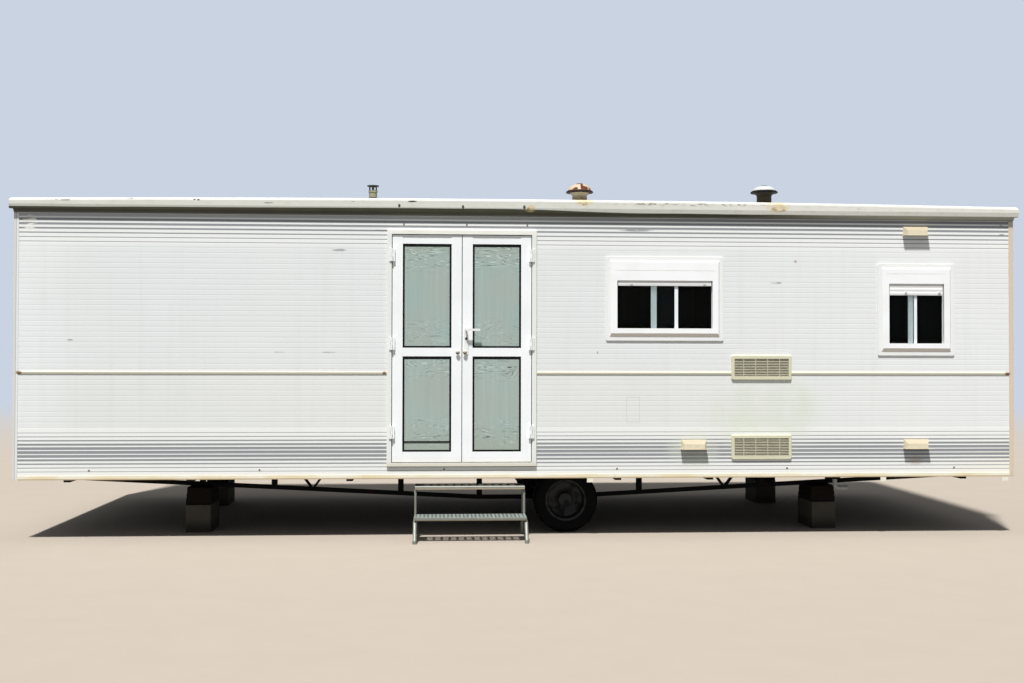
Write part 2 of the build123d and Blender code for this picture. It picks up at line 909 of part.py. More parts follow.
with BuildPart() as ends:
    for side in (-1, 1):
        profile, sweep_angle = end_profile(side)
        revolve(
            profile,
            axis=Axis((0, body_y, roof_centre_z), (1, 0, 0)),
            revolution_arc=sweep_angle,
        )
    top = eaves_z + roof_camber + eaves_end_height + 1
    block(-body_length, body_length, front_y, rear_y, skirt_z, top, mode=Mode.INTERSECT)
save(ends.part, "end_roof_trims")

# Roof fittings, all on the front slope

fitting_base = roof_z(fitting_y, skin)


def turned(x, points):
    """Revolve a half profile, given as (radius, height above the roof) points, about a post."""
    with BuildPart() as piece:
        with BuildSketch(Plane(origin=(x, fitting_y, fitting_base), x_dir=(1, 0, 0), z_dir=(0, -1, 0))):
            with BuildLine():
                Polyline(*points, close=True)
            make_face()
        revolve(axis=Axis((x, fitting_y, 0), (0, 0, 1)))
    return piece.part


def roof_bed(x, radius):
    """The roof surface under a fitting, as a cutter that gives it a seated foot."""
    with BuildPart() as bed:
        extrude(arch_outline(section(x - radius), body_width / 2, eaves_z, skin), amount=2 * radius)
    return bed.part


disc_low = flue_height - flue_disc_thickness
drum_low = disc_low - flue_drum_height
collar_low = drum_low - flue_collar_height
collar_radius = flue_radius + flue_collar_proud
flue_points = [
    (0, -fitting_foot_depth),
    (flue_foot, -fitting_foot_depth),
    (flue_foot, fitting_foot_height),
    (flue_flashing_radius, flue_flashing_height),
    (flue_radius, flue_flashing_height),
    (flue_radius, collar_low),
    (collar_radius, collar_low),
    (collar_radius, drum_low),
    (flue_radius, drum_low),
    (flue_radius, disc_low),
    (flue_disc_radius, disc_low),
    (flue_disc_radius, flue_height),
    (0, flue_height),
]
with BuildPart() as flue:
    add(turned(flue_x, flue_points))
    with Locations(Plane(origin=(flue_x, fitting_y, fitting_base + drum_low + flue_drum_height / 2))):
        Cylinder(flue_radius - flue_drum_wall, flue_drum_height, mode=Mode.SUBTRACT)
        with PolarLocations(flue_radius, flue_slots):
            slot_reach = 4 * flue_drum_wall
            Box(slot_reach, flue_slot_width, flue_drum_height - 2 * flue_slot_margin, mode=Mode.SUBTRACT)
    add(roof_bed(flue_x, flue_foot + 1), mode=Mode.SUBTRACT)
save(flue.part, "flue")


def mushroom(x, cap_height):
    """A mushroom vent: flange, neck, flare, flat rim, domed cap and the nub on its crown."""
    rim = vent_height - cap_height
    crown = vent_height - vent_nub_height
    shoulder = (rim + vent_dome_step + crown) / 2
    with BuildPart() as vent:
        with BuildSketch(Plane(origin=(x, fitting_y, fitting_base), x_dir=(1, 0, 0), z_dir=(0, -1, 0))):
            with BuildLine():
                Polyline(
                    (0, vent_height),
                    (0, -fitting_foot_depth),
                    (vent_foot, -fitting_foot_depth),
                    (vent_foot, fitting_foot_height),
                    (vent_neck_radius, vent_cone),
                    (vent_neck_radius, rim - vent_flare_drop),
                    (vent_flare_radius, rim),
                    (vent_cap_radius, rim),
                    (vent_cap_radius, rim + vent_rim_height),
                    (vent_dome_radius, rim + vent_dome_step),
                )
                dome = (vent_dome_radius, rim + vent_dome_step)
                ThreePointArc(dome, (vent_shoulder_radius, shoulder), (vent_nub_radius, crown))
                Polyline((vent_nub_radius, crown), (0.8 * vent_nub_radius, vent_height), (0, vent_height))
            make_face()
        revolve(axis=Axis((x, fitting_y, 0), (0, 0, 1)))
        add(roof_bed(x, vent_foot + 1), mode=Mode.SUBTRACT)
    return vent.part


vents = (
    ("rusty_roof_vent", rusty_vent_x, rusty_cap_height),
    ("white_roof_vent", white_vent_x, white_cap_height),
)
for name, x, cap_height in vents:
    save(mushroom(x, cap_height), name)

# Door frame

with BuildPart() as jambs:
    for outer, inner, into in ((frame_left, doorway_left, 1), (frame_right, doorway_right, -1)):
        low = min(outer, inner)
        high = max(outer, inner)
        block(low, high, frame_y, inner_y, frame_bottom, frame_top)
        stop = inner + into * frame_stop
        stop_y = leaf_y + leaf_thickness + stop_clearance
        near, far = sorted((inner, stop))
        block(near, far, stop_y, inner_y, frame_bottom + sill_face, frame_top - head_face)
save(jambs.part, "door_jambs")

with BuildPart() as head:
    stop_y = leaf_y + leaf_thickness + stop_clearance
    block(doorway_left, doorway_right, frame_y, inner_y, frame_top - head_face, frame_top)
    block(
        doorway_left + frame_stop,
        doorway_right - frame_stop,
        stop_y,
        inner_y,
        frame_top - head_face - frame_stop,
        frame_top - head_face,
    )
    block(doorway_left, doorway_right, frame_y, inner_y, frame_bottom, frame_bottom + sill_face)
save(head.part, "door_head_and_sill")

# Hinges: two knuckles and the pin on the frame, the middle knuckle on the leaf

axis_y = frame_y - knuckle_radius - hinge_stand
axis_left = doorway_left + leaf_gap / 2
axis_right = doorway_right - leaf_gap / 2


def post(x, radius, low, high, mode=Mode.ADD):
    """An upright cylinder on a hinge axis."""
    with Locations((x, axis_y, (low + high) / 2)):
        Cylinder(radius, high - low, mode=mode)


def wing(x, into, low, high, face_y):
    """The flat wing of one hinge half, screwed to the face behind it."""
    near, far = sorted((x + into * wing_offset, x + into * (wing_offset + wing_width)))
    block(near, far, axis_y, face_y, low, high)


def web(x, into, low, high, reach):
    """The lug that joins a wing to its knuckle."""
    near, far = sorted((x + into * reach, x + into * (wing_offset + wing_width / 2)))
    block(near, far, axis_y, axis_y + web_thickness, low, high)


middle_low = knuckle_share + knuckle_gap
middle_high = hinge_height - knuckle_share - knuckle_gap
with BuildPart() as hinges:
    for x, into in ((axis_left, -1), (axis_right, 1)):
        for middle in hinge_heights:
            z = middle - hinge_height / 2
            wing(x, into, z, z + hinge_height, frame_y)
            for low, high in ((z, z + knuckle_share), (z + hinge_height - knuckle_share, z + hinge_height)):
                post(x, knuckle_radius, low, high)
                web(x, into, low, high, 0.0)
            post(x, pin_radius, z, z + hinge_height)
save(hinges.part, "door_hinges")

# Door leaves: stiles over slightly set-back rails, hinge halves on the outer face

leaf_back = leaf_y + leaf_thickness
for name, side in (("door_leaf_left", -1), ("door_leaf_right", 1)):
    edge_in = door_x + side * leaf_gap / 2
    edge_out = edge_in + side * leaf_width
    low_x = min(edge_in, edge_out)
    high_x = max(edge_in, edge_out)
    hinge_x = axis_left if side < 0 else axis_right
    with BuildPart() as leaf:
        for x in (low_x, high_x - stile_width):
            block(x, x + stile_width, leaf_y, leaf_back, leaf_bottom, leaf_top)
        rails = (
            (leaf_bottom, leaf_bottom + bottom_rail),
            (middle_rail_z, middle_rail_z + middle_rail),
            (leaf_top - top_rail, leaf_top),
        )
        for low, high in rails:
            block(
                low_x + stile_width,
                high_x - stile_width,
                leaf_y + rail_set_back,
                leaf_back - rail_set_back,
                low,
                high,
            )
        for middle in hinge_heights:
            z = middle - hinge_height / 2
            wing(hinge_x, -side, z, z + hinge_height, leaf_y)
            web(hinge_x, -side, z + middle_low, z + middle_high, pin_radius)
            post(hinge_x, knuckle_radius, z + middle_low, z + middle_high)
            post(hinge_x, pin_radius + pin_clearance, z + middle_low, z + middle_high, Mode.SUBTRACT)
        if side > 0:
            with Locations(Plane(origin=(lock_x, leaf_y, lever_z), z_dir=(0, -1, 0))):
                Hole(spindle_radius + spindle_clearance, depth=2 * leaf_thickness)
    save(leaf.part, name)

pane_rows = (
    (leaf_bottom + bottom_rail, middle_rail_z),
    (middle_rail_z + middle_rail, leaf_top - top_rail),
)
for side, word in ((-1, "left"), (1, "right")):
    centre_x = door_x + side * (leaf_gap / 2 + leaf_width / 2)
    half = leaf_width / 2 - stile_width
    with BuildPart() as gaskets:
        for low, high in pane_rows:
            with BuildSketch(elevation(leaf_y + pane_bed + pane_thickness + gasket_lip)):
                with Locations((centre_x, (low + high) / 2)):
                    Rectangle(2 * half, high - low)
                    Rectangle(2 * (half - gasket_width), high - low - 2 * gasket_width, mode=Mode.SUBTRACT)
            extrude(amount=pane_thickness + 2 * gasket_lip)
            with BuildSketch(elevation(leaf_y + pane_bed + pane_thickness)):
                with Locations((centre_x, (low + high) / 2)):
                    Rectangle(2 * half - gasket_width, high - low - gasket_width)
            extrude(amount=pane_thickness, mode=Mode.SUBTRACT)
    save(gaskets.part, "door_gaskets_" + word)
    with BuildPart() as panes:
        for low, high in pane_rows:
            with BuildSketch(elevation(leaf_y + pane_bed + pane_thickness)):
                with Locations((centre_x, (low + high) / 2)):
                    Rectangle(2 * half - gasket_width, high - low - gasket_width)
            extrude(amount=pane_thickness)
    save(panes.part, "door_glass_" + word)

# Lock plates and lever

plate_top = lever_z + plate_above
with BuildPart() as plates:
    for start, out in ((leaf_y, -1), (leaf_back, 1)):
        middle_z = plate_top - plate_height / 2
        with BuildSketch(elevation(start)):
            with Locations((lock_x, middle_z)):
                RectangleRounded(plate_width, plate_height, plate_width / 2 - 1)
            with Locations((lock_x, lever_z)):
                Circle(neck_radius + neck_clearance, mode=Mode.SUBTRACT)
        extrude(amount=-out * plate_thickness)
save(plates.part, "lock_plates")

with BuildPart() as lever:
    reach = plate_thickness + lever_reach
    front_tip = leaf_y - reach
    back_tip = leaf_back + reach
    with BuildSketch(elevation(back_tip)):
        with Locations((lock_x, lever_z)):
            Circle(spindle_radius)
    extrude(amount=back_tip - front_tip)
    for near, tip in ((leaf_y - 1.0, front_tip), (leaf_back + 1.0, back_tip)):
        with BuildSketch(elevation(max(near, tip))):
            with Locations((lock_x, lever_z)):
                Circle(neck_radius)
        extrude(amount=abs(tip - near))
        with BuildSketch(elevation(tip + lever_thickness if tip < near else tip)):
            with Locations((lock_x + lever_length / 2 - neck_radius, lever_z)):
                SlotOverall(lever_length, lever_bar)
        extrude(amount=lever_thickness)
save(lever.part, "door_lever")

# Windows: a broad flange on the cladding, a tapered casing with the shutter box, two sliding sashes


def facing(window_y, out):
    """How far a face stands from the wall plane: out is -1 in front and 1 behind."""
    return lambda d: window_y + out * d


window_set = (
    (kitchen_window, flange_top, kitchen_drop, kitchen_stiles),
    (bath_window, flange_bath_top, bath_drop, bath_stiles),
)
window_places = []
for window, top, drop, stiles in window_set:
    window_places.append((window, top, drop, stiles, front_y, -1))
    mirrored = (-window[1], -window[0], window[2], window[3])
    mirrored_stiles = [(-end, -start) for start, end in reversed(stiles)]
    window_places.append((mirrored, top, drop, mirrored_stiles, rear_y, 1))


def slab(x0, x1, z0, z1, at, near, far, mode=Mode.ADD):
    """A box in the wall: near and far are distances out of the wall plane."""
    y0, y1 = sorted((at(near), at(far)))
    block(x0, x1, y0, y1, z0, z1, mode=mode)


def window_frame(window, top, at):
    """Flange, tapered casing with the shutter box in its head, and the body that lines the wall."""
    left, right, bottom, height = window
    foot = bottom - flange_bottom
    head = height + top
    with BuildPart() as frame:
        slab(left - flange_side, right + flange_side, foot, head, at, 0, flange_proud)
        fillet(frame.part.edges().filter_by(Axis.Y), radius=flange_corner)
        for proud, side_inset, foot_inset in (
            (flange_proud, casing_margin, casing_margin),
            (casing_proud, casing_margin + casing_bevel, casing_margin + casing_foot_bevel),
        ):
            low = foot + foot_inset
            high = head - side_inset
            with BuildSketch(elevation(at(proud))):
                with Locations(((left + right) / 2, (low + high) / 2)):
                    Rectangle(right - left + 2 * (flange_side - side_inset), high - low)
        loft()
        body = window_body
        slab(left - body, right + body, bottom - body, height + body, at, -wall_thickness, 0)
        sash = sash_width
        slab(left, right, bottom, height, at, -1, casing_proud + 1, mode=Mode.SUBTRACT)
        slab(
            left - sash,
            right + sash,
            bottom - sash,
            height + sash,
            at,
            -wall_thickness - 1,
            rear_sash_back + 2 * sash_depth + track_gap,
            mode=Mode.SUBTRACT,
        )
        near = slat_near - slat_fit
        far = slat_near + slat_thickness + slat_bulge + slat_fit
        slab(left, right, height, height + slat_pocket, at, near, far, mode=Mode.SUBTRACT)
        line = height + header_line
        slab(
            left - casing_margin / 2,
            right + casing_margin / 2,
            line,
            line + header_groove,
            at,
            casing_proud - header_groove,
            casing_proud + 1,
            mode=Mode.SUBTRACT,
        )
    return frame.part


slat_near = rear_sash_back + 2 * sash_depth + track_gap + slat_clearance
frame_parts = [window_frame(w, top, facing(y, out)) for w, top, drop, stiles, y, out in window_places]
with BuildPart() as frames:
    add(frame_parts)
save(frames.part, "window_frames")


def sash_spans(window, stiles):
    """The two sashes of a slider as (left, glass left, glass right, right, back face)."""
    left, right, bottom, height = window
    rear_stile, front_stile = stiles
    front_back = rear_sash_back + sash_depth + track_gap
    return (
        (left - sash_width, left, front_stile[0], front_stile[1], front_back),
        (rear_stile[0], rear_stile[1], right, right + sash_width, rear_sash_back),
    )


with BuildPart() as sashes:
    for window, top, drop, stiles, wall_y, out in window_places:
        at = facing(wall_y, out)
        bottom, height = window[2:]
        for start, glass_start, glass_end, end, back in sash_spans(window, stiles):
            slab(start, end, bottom - sash_width, height + sash_width, at, back, back + sash_depth)
            front = back + sash_depth
            slab(glass_start, glass_end, bottom, height, at, back - 1, front + 1, mode=Mode.SUBTRACT)
save(sashes.part, "window_sashes")

with BuildPart() as glass:
    for window, top, drop, stiles, wall_y, out in window_places:
        at = facing(wall_y, out)
        bottom, height = window[2:]
        for start, glass_start, glass_end, end, back in sash_spans(window, stiles):
            pane = back + (sash_depth - glass_thickness) / 2
            slab(glass_start, glass_end, bottom, height, at, pane, pane + glass_thickness)
save(glass.part, "window_glass")


def curtain(window, drop, at):
    """The slats of a roller shutter that hang below its box, running on up into the pocket."""
    left, right, bottom, height = window
    slats = max(1, round(drop / slat_height))
    share = drop / slats
    back = at(slat_near)
    face = at(slat_near + slat_thickness)
    crest = at(slat_near + slat_thickness + slat_bulge)
    with BuildPart() as hung:
        with BuildSketch(section(left + slat_side_gap)):
            with BuildLine():
                for i in range(slats):
                    low = height - drop + i * share
                    ThreePointArc((face, low), (crest, low + share / 2), (face, low + share))
                Polyline(
                    (face, height),
                    (face, height + slat_pocket),
                    (back, height + slat_pocket),
                    (back, height - drop),
                    (face, height - drop),
                )
            make_face()
        extrude(amount=right - left - 2 * slat_side_gap)
    return hung.part


with BuildPart() as shutters:
    add([curtain(w, drop, facing(y, out)) for w, top, drop, stiles, y, out in window_places])
save(shutters.part, "roller_shutters")

# Louvred vents and vent cowls

def louvre(z):
    """A bevelled frame over the opening, tilted blades across it and thin ribs that carry them."""
    with BuildPart() as vent:
        with BuildSketch(elevation(front_y)):
            with Locations((louvre_x, z)):
                RectangleRounded(louvre_width, louvre_height, louvre_corner)
                Rectangle(louvre_opening_width, louvre_opening_height, mode=Mode.SUBTRACT)
        extrude(amount=louvre_depth)
        outer_face = vent.part.faces().filter_by(Axis.Y).sort_by(Axis.Y)[0]
        chamfer(outer_face.outer_wire().edges(), length=louvre_bevel)
        pitch = louvre_opening_height / louvre_blades
        blade_depth = louvre_depth - 2 * louvre_set_back
        for i in range(louvre_blades):
            blade_z = z - louvre_opening_height / 2 + (i + 0.5) * pitch
            middle = Plane(origin=(louvre_x, front_y - louvre_depth / 2, blade_z))
            with Locations(middle.rotated((louvre_blade_tilt, 0, 0))):
                Box(louvre_opening_width, blade_depth, louvre_blade_thickness)
        for i in range(louvre_ribs):
            x = louvre_x + (i - (louvre_ribs - 1) / 2) * louvre_rib_pitch
            half = louvre_opening_height / 2
            near = front_y - louvre_depth + louvre_set_back
            block(x - louvre_rib_width / 2, x + louvre_rib_width / 2, near, front_y, z - half, z + half)
    return vent.part


with BuildPart() as louvres:
    add([louvre(z) for z in louvre_z])
save(louvres.part, "louvre_vents")


def cowl(x, z):
    """A hipped hood on the wall, hollow and open below, with a small lip round its mouth."""
    low = z - cowl_height / 2
    reach = cowl_width / 2 + cowl_lip
    with BuildPart() as hood:
        block(x - reach, x + reach, front_y - cowl_depth - cowl_lip, front_y, low, low + cowl_lip)
        for wall, floor, mode in ((0.0, low, Mode.ADD), (cowl_wall, low - 1, Mode.SUBTRACT)):
            high = low + cowl_height - wall
            width = cowl_width - 2 * wall
            for y, hip, slope in ((front_y, 0.0, 0.0), (front_y - cowl_depth + wall, cowl_hip, cowl_slope)):
                with BuildSketch(elevation(y)):
                    with Locations((x, (floor + high - slope) / 2)):
                        Rectangle(width - 2 * hip, high - slope - floor)
            loft(mode=mode)
    return hood.part


with BuildPart() as cowls:
    add([cowl(x, z) for x, z in cowl_places])
save(cowls.part, "vent_cowls")

# Entry steps: a hoop of tube each side, a lighter hoop on it, two folded treads

tube_z = lower_tread_z - tread_height - step_tube
rod_z = upper_tread_z - tread_height - step_rod
lower_front = front_y - lower_tread_reach
upper_front = front_y - upper_tread_reach
upper_back = upper_front + tread_depth
front_foot = front_y - step_foot_reach
back_foot = upper_back + back_foot_reach


def bent_tube(x, points, radius, bend):
    """A round tube through (y, z) points in the plane at x, with equal bends."""
    with BuildPart() as tube:
        with BuildLine() as path:
            FilletPolyline(*[(x, y, z) for y, z in points], radius=bend)
        with BuildSketch(Plane(origin=path.line @ 0, z_dir=path.line % 0)):
            Circle(radius)
        sweep(path=path.line)
    return tube.part


def step_side(x):
    """One side of the steps: the main hoop on two round feet, with a lighter hoop standing on it."""
    hoop = (
        (front_foot, step_tube),
        (lower_front + tread_inset, tube_z),
        (back_foot, tube_z),
        (back_foot, step_tube),
    )
    rod_front = upper_front + tread_inset
    rod_back = upper_back - tread_inset
    rods = ((rod_front, tube_z), (rod_front, rod_z), (rod_back, rod_z), (rod_back, tube_z))
    with BuildPart() as hoops:
        add(bent_tube(x, hoop, step_tube, step_bend))
        add(bent_tube(x, rods, step_rod, rod_bend))
        for y in (front_foot, back_foot):
            with Locations((x, y, foot_height / 2)):
                Cylinder(foot_radius, foot_height)
    return hoops.part


with BuildPart() as sides:
    add([step_side(x) for x in (step_left_x, step_right_x)])
save(sides.part, "step_sides")


def tread(y, z):
    """A folded sheet tread, open below, with rows of slots in its top."""
    x0 = step_left_x - tread_overhang
    x1 = step_right_x + tread_overhang
    with BuildPart() as plate:
        block(x0, x1, y, y + tread_depth, z - tread_height, z)
        hollow = (x0 + tread_end, x1 - tread_end, y + tread_skin, y + tread_depth - tread_skin)
        block(*hollow, z - tread_height - 1, z - tread_skin, mode=Mode.SUBTRACT)
        with Locations(((x0 + x1) / 2, y + tread_depth / 2, z)):
            with GridLocations(*slot_pitch, slot_columns, slot_rows):
                Box(slot_length, slot_width, 4 * tread_skin, mode=Mode.SUBTRACT)
    return plate.part


with BuildPart() as treads:
    add([tread(lower_front, lower_tread_z), tread(upper_front, upper_tread_z)])
save(treads.part, "step_treads")

# Waste pipe under the bathroom

with BuildPart() as drain:
    y = front_y + drain_setback
    with BuildLine() as path:
        FilletPolyline(
            (drain_x, y, joist_top),
            (drain_x, y, drain_bottom),
            (drain_x + drain_elbow, y, drain_bottom),
            radius=drain_bend,
        )
    with BuildSketch(Plane(origin=path.line @ 0, z_dir=path.line % 0)):
        Circle(drain_radius)
    sweep(path=path.line)
    with BuildSketch(Plane(origin=path.line @ 1, z_dir=path.line % 1)):
        Circle(drain_radius - drain_wall)
    extrude(amount=-drain_socket, mode=Mode.SUBTRACT)
save(drain.part, "waste_pipe")
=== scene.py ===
import math

import bmesh
import bpy
from mathutils import Matrix, Vector


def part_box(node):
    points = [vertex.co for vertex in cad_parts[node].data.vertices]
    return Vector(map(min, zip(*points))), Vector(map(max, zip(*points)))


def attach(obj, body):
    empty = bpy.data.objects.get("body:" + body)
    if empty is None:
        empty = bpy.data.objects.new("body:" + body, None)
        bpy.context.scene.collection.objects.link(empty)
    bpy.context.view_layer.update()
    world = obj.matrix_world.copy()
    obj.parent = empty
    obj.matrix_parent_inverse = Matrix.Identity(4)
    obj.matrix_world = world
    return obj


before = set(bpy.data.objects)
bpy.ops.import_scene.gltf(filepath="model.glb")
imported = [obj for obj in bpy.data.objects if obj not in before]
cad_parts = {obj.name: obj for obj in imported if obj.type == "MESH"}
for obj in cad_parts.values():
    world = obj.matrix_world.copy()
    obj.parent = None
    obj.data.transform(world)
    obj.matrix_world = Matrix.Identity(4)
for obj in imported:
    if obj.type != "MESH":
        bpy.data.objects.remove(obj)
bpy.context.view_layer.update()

# Chassis: two trussed side rails and the crossmembers that tie them together.
# Welded steel sections in black underbody paint, rusting where the paint has chipped.
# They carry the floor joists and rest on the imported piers.


def shade(red, green, blue):
    """A colour as it looks on a screen, 0 to 255, turned into the linear values of a shader."""
    steps = [value / 255 for value in (red, green, blue)]
    linear = [s / 12.92 if s <= 0.04045 else ((s + 0.055) / 1.055) ** 2.4 for s in steps]
    return (*linear, 1.0)


class Coat:
    """One finish, whose patterns are laid out in the home's own metres."""

    def __init__(self, name, roughness, metallic=0.0, specular=0.5):
        self.material = bpy.data.materials.new(name)
        self.material.use_nodes = True
        self.nodes = self.material.node_tree.nodes
        self.links = self.material.node_tree.links
        self.shader = self.nodes["Principled BSDF"]
        self.shader.inputs["Roughness"].default_value = roughness
        self.shader.inputs["Metallic"].default_value = metallic
        self.shader.inputs["Specular IOR Level"].default_value = specular
        self.place = self.nodes.new("ShaderNodeTexCoord").outputs["Object"]
        axes = self.nodes.new("ShaderNodeSeparateXYZ")
        self.links.new(self.place, axes.inputs[0])
        self.x, self.y, self.z = axes.outputs

    def feed(self, socket, value):
        """Link one socket to another, or write a plain value on it."""
        if isinstance(value, bpy.types.NodeSocket):
            self.links.new(value, socket)
        else:
            socket.default_value = value

    def maths(self, operation, first, second=0.0):
        step = self.nodes.new("ShaderNodeMath")
        step.operation = operation
        self.feed(step.inputs[0], first)
        self.feed(step.inputs[1], second)
        return step.outputs[0]

    def times(self, first, second):
        return self.maths("MULTIPLY", first, second)

    def off(self, value, middle):
        """How far a value lies from a middle one, either way."""
        return self.maths("ABSOLUTE", self.maths("SUBTRACT", value, middle))

    def from_nearest(self, value, pitch):
        """How far a value lies from the nearest of even marks, as a share of their pitch."""
        return self.maths("PINGPONG", self.maths("DIVIDE", value, pitch), 0.5)

    def clouds(self, scale, detail, stretch=(1.0, 1.0, 1.0), twist=0.0):
        """Cloudy noise from 0 to 1, so many clouds to the metre, stretched along any axis."""
        turn = self.nodes.new("ShaderNodeMapping")
        turn.inputs["Scale"].default_value = stretch
        self.links.new(self.place, turn.inputs["Vector"])
        noise = self.nodes.new("ShaderNodeTexNoise")
        noise.inputs["Scale"].default_value = scale
        noise.inputs["Detail"].default_value = detail
        noise.inputs["Distortion"].default_value = twist
        self.links.new(turn.outputs[0], noise.inputs["Vector"])
        return noise.outputs[0]

    def ramp(self, value, start, end, low=0.0, high=1.0):
        """A smooth step: low up to start, high from end on; start above end turns it round."""
        step = self.nodes.new("ShaderNodeMapRange")
        step.interpolation_type = "SMOOTHSTEP"
        for socket, given in zip(step.inputs, (value, start, end, low, high)):
            self.feed(socket, given)
        return step.outputs[0]

    def tilt(self, start, end):
        """How far a surface faces up, or down where both ends are below 0, as a share from 0 to 1."""
        outward = self.nodes.new("ShaderNodeNewGeometry").outputs["Normal"]
        parts = self.nodes.new("ShaderNodeSeparateXYZ")
        self.links.new(outward, parts.inputs[0])
        return self.ramp(parts.outputs[2], start, end)

    def mix(self, share, under, over, strength=1.0):
        """The over colour laid on the under colour, by a share from 0 to 1 and at a strength."""
        if strength < 1.0:
            share = self.times(share, strength)
        blender = self.nodes.new("ShaderNodeMix")
        blender.data_type = "RGBA"
        self.feed(blender.inputs[0], share)
        self.feed(blender.inputs[6], under)
        self.feed(blender.inputs[7], over)
        return blender.outputs[2]

    def paint(self, colour):
        self.feed(self.shader.inputs["Base Color"], colour)

    def two_tone(self, scale, detail, first, second):
        """Paint in two colours that run into each other like clouds."""
        self.paint(self.mix(self.clouds(scale, detail), first, second))

    def shine(self, roughness):
        self.feed(self.shader.inputs["Roughness"], roughness)

    def relief(self, height, depth):
        """Bump of a depth in metres."""
        bump = self.nodes.new("ShaderNodeBump")
        bump.inputs["Distance"].default_value = depth
        self.links.new(height, bump.inputs["Height"])
        self.links.new(bump.outputs[0], self.shader.inputs["Normal"])


def dress(coat, *names):
    """Give CAD nodes their finish."""
    for name in names:
        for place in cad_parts[name].material_slots:
            place.material = coat.material


underbody = Coat("underbody_paint", roughness=0.8, specular=0.2)
grit = underbody.clouds(140.0, 3.0)
chipped = underbody.ramp(underbody.clouds(9.0, 6.0), 0.56, 0.68)
sound_paint = underbody.mix(grit, shade(9, 9, 8), shade(18, 16, 15))
bare_rust = underbody.mix(grit, shade(32, 20, 14), shade(48, 31, 21))
underbody.paint(underbody.mix(chipped, sound_paint, bare_rust))
underbody.shine(underbody.ramp(chipped, 0.0, 1.0, 0.72, 0.92))
underbody.relief(grit, 0.0006)
dress(underbody, "chassis_rail_front", "chassis_rail_rear", "crossmembers")

# Running gear: a cranked axle with a dished steel wheel and a tyre at each end.
# The axle is painted like the chassis; the rims are nearly black with dirt and rust.
# The wheels hang just under the floor, between the rails and the side walls.

dress(underbody, "axle")

rim_paint = Coat("rim_paint", roughness=0.55, metallic=0.2)
rim_dirt = rim_paint.ramp(rim_paint.clouds(14.0, 6.0), 0.45, 0.62)
rim_paint.paint(rim_paint.mix(rim_dirt, shade(34, 33, 32), shade(28, 21, 16)))
rim_paint.shine(rim_paint.ramp(rim_dirt, 0.0, 1.0, 0.45, 0.85))
rim_paint.relief(rim_paint.clouds(90.0, 3.0), 0.0005)
dress(rim_paint, "wheels")

rubber = Coat("tyre_rubber", roughness=0.85, specular=0.2)
tread_bars = 72
axle_low, axle_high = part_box("axle")
axle_x = (axle_low.x + axle_high.x) / 2
tyre_low, tyre_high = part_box("tyres")
hub_z = (tyre_low.z + tyre_high.z) / 2
across = rubber.maths("SUBTRACT", rubber.x, axle_x)
above = rubber.maths("SUBTRACT", rubber.z, hub_z)
angle = rubber.maths("ARCTAN2", above, across)
tread_blocks = rubber.maths("SINE", rubber.times(angle, tread_bars))
worn = rubber.times(rubber.ramp(tread_blocks, -0.2, 0.2), rubber.clouds(30.0, 2.0))
rubber.two_tone(12.0, 5.0, shade(5, 5, 5), shade(14, 13, 12))
rubber.relief(worn, 0.003)
dress(rubber, "tyres")

# Piers: hollow concrete blocks stood on end under the rails, with planks packed on top.
# Grey concrete with open pores; the planks are rough softwood, dark with age and damp.
# They are only stacked: the weight of the home holds them.

concrete = Coat("block_concrete", roughness=0.92, specular=0.2)
pores = concrete.clouds(160.0, 4.0)
damp = concrete.ramp(concrete.z, 0.12, 0.02)
weathered = concrete.mix(concrete.clouds(7.0, 5.0), shade(74, 69, 60), shade(100, 93, 82))
concrete.paint(concrete.mix(damp, weathered, shade(60, 55, 48)))
concrete.relief(pores, 0.002)
dress(concrete, "pier_blocks")

plank = Coat("packing_planks", roughness=0.85, specular=0.2)
plank_grain = plank.clouds(22.0, 6.0, stretch=(3.0, 0.35, 9.0), twist=0.8)
plank.paint(plank.mix(plank_grain, shade(16, 12, 9), shade(38, 28, 21)))
plank.relief(plank_grain, 0.001)
dress(plank, "pier_packings")

# Floor: softwood joists on the crossmembers and a sheet board deck over them.
# The joists are raw timber, dark with age; the deck is a brown board with a worn vinyl face.
# The deck is nailed down, and the wall panels stand round it.

joist_wood = Coat("joist_wood", roughness=0.85, specular=0.2)
joist_grain = joist_wood.clouds(16.0, 6.0, stretch=(6.0, 0.3, 6.0), twist=0.6)
joist_wood.paint(joist_wood.mix(joist_grain, shade(46, 36, 28), shade(86, 68, 50)))
joist_wood.relief(joist_grain, 0.001)
dress(joist_wood, "floor_joists")

floor_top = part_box("floor_deck")[1].z
decking = Coat("floor_vinyl", roughness=0.5)
on_top = decking.ramp(decking.z, floor_top - 0.004, floor_top - 0.001)
board_width = 0.15
board_edge = decking.from_nearest(decking.y, board_width)
board_seam = decking.ramp(board_edge, 0.03, 0.0)
vinyl_grain = decking.clouds(9.0, 6.0, stretch=(0.5, 8.0, 1.0), twist=0.7)
vinyl = decking.mix(vinyl_grain, shade(142, 110, 78), shade(176, 142, 106))
vinyl = decking.mix(board_seam, vinyl, shade(84, 62, 44), 0.6)
underside = decking.mix(decking.clouds(60.0, 4.0), shade(38, 31, 25), shade(58, 48, 38))
decking.paint(decking.mix(on_top, underside, vinyl))
decking.relief(decking.maths("SUBTRACT", vinyl_grain, board_seam), 0.0008)
dress(decking, "floor_deck")

# Wall cores: the foam sandwich that stands behind the cladding, split round the doorway.
# A thin board with a dark wood print faces the room, with upright joints every 600 mm.
# The cores are glued to the cladding and screwed down to the edge of the floor.

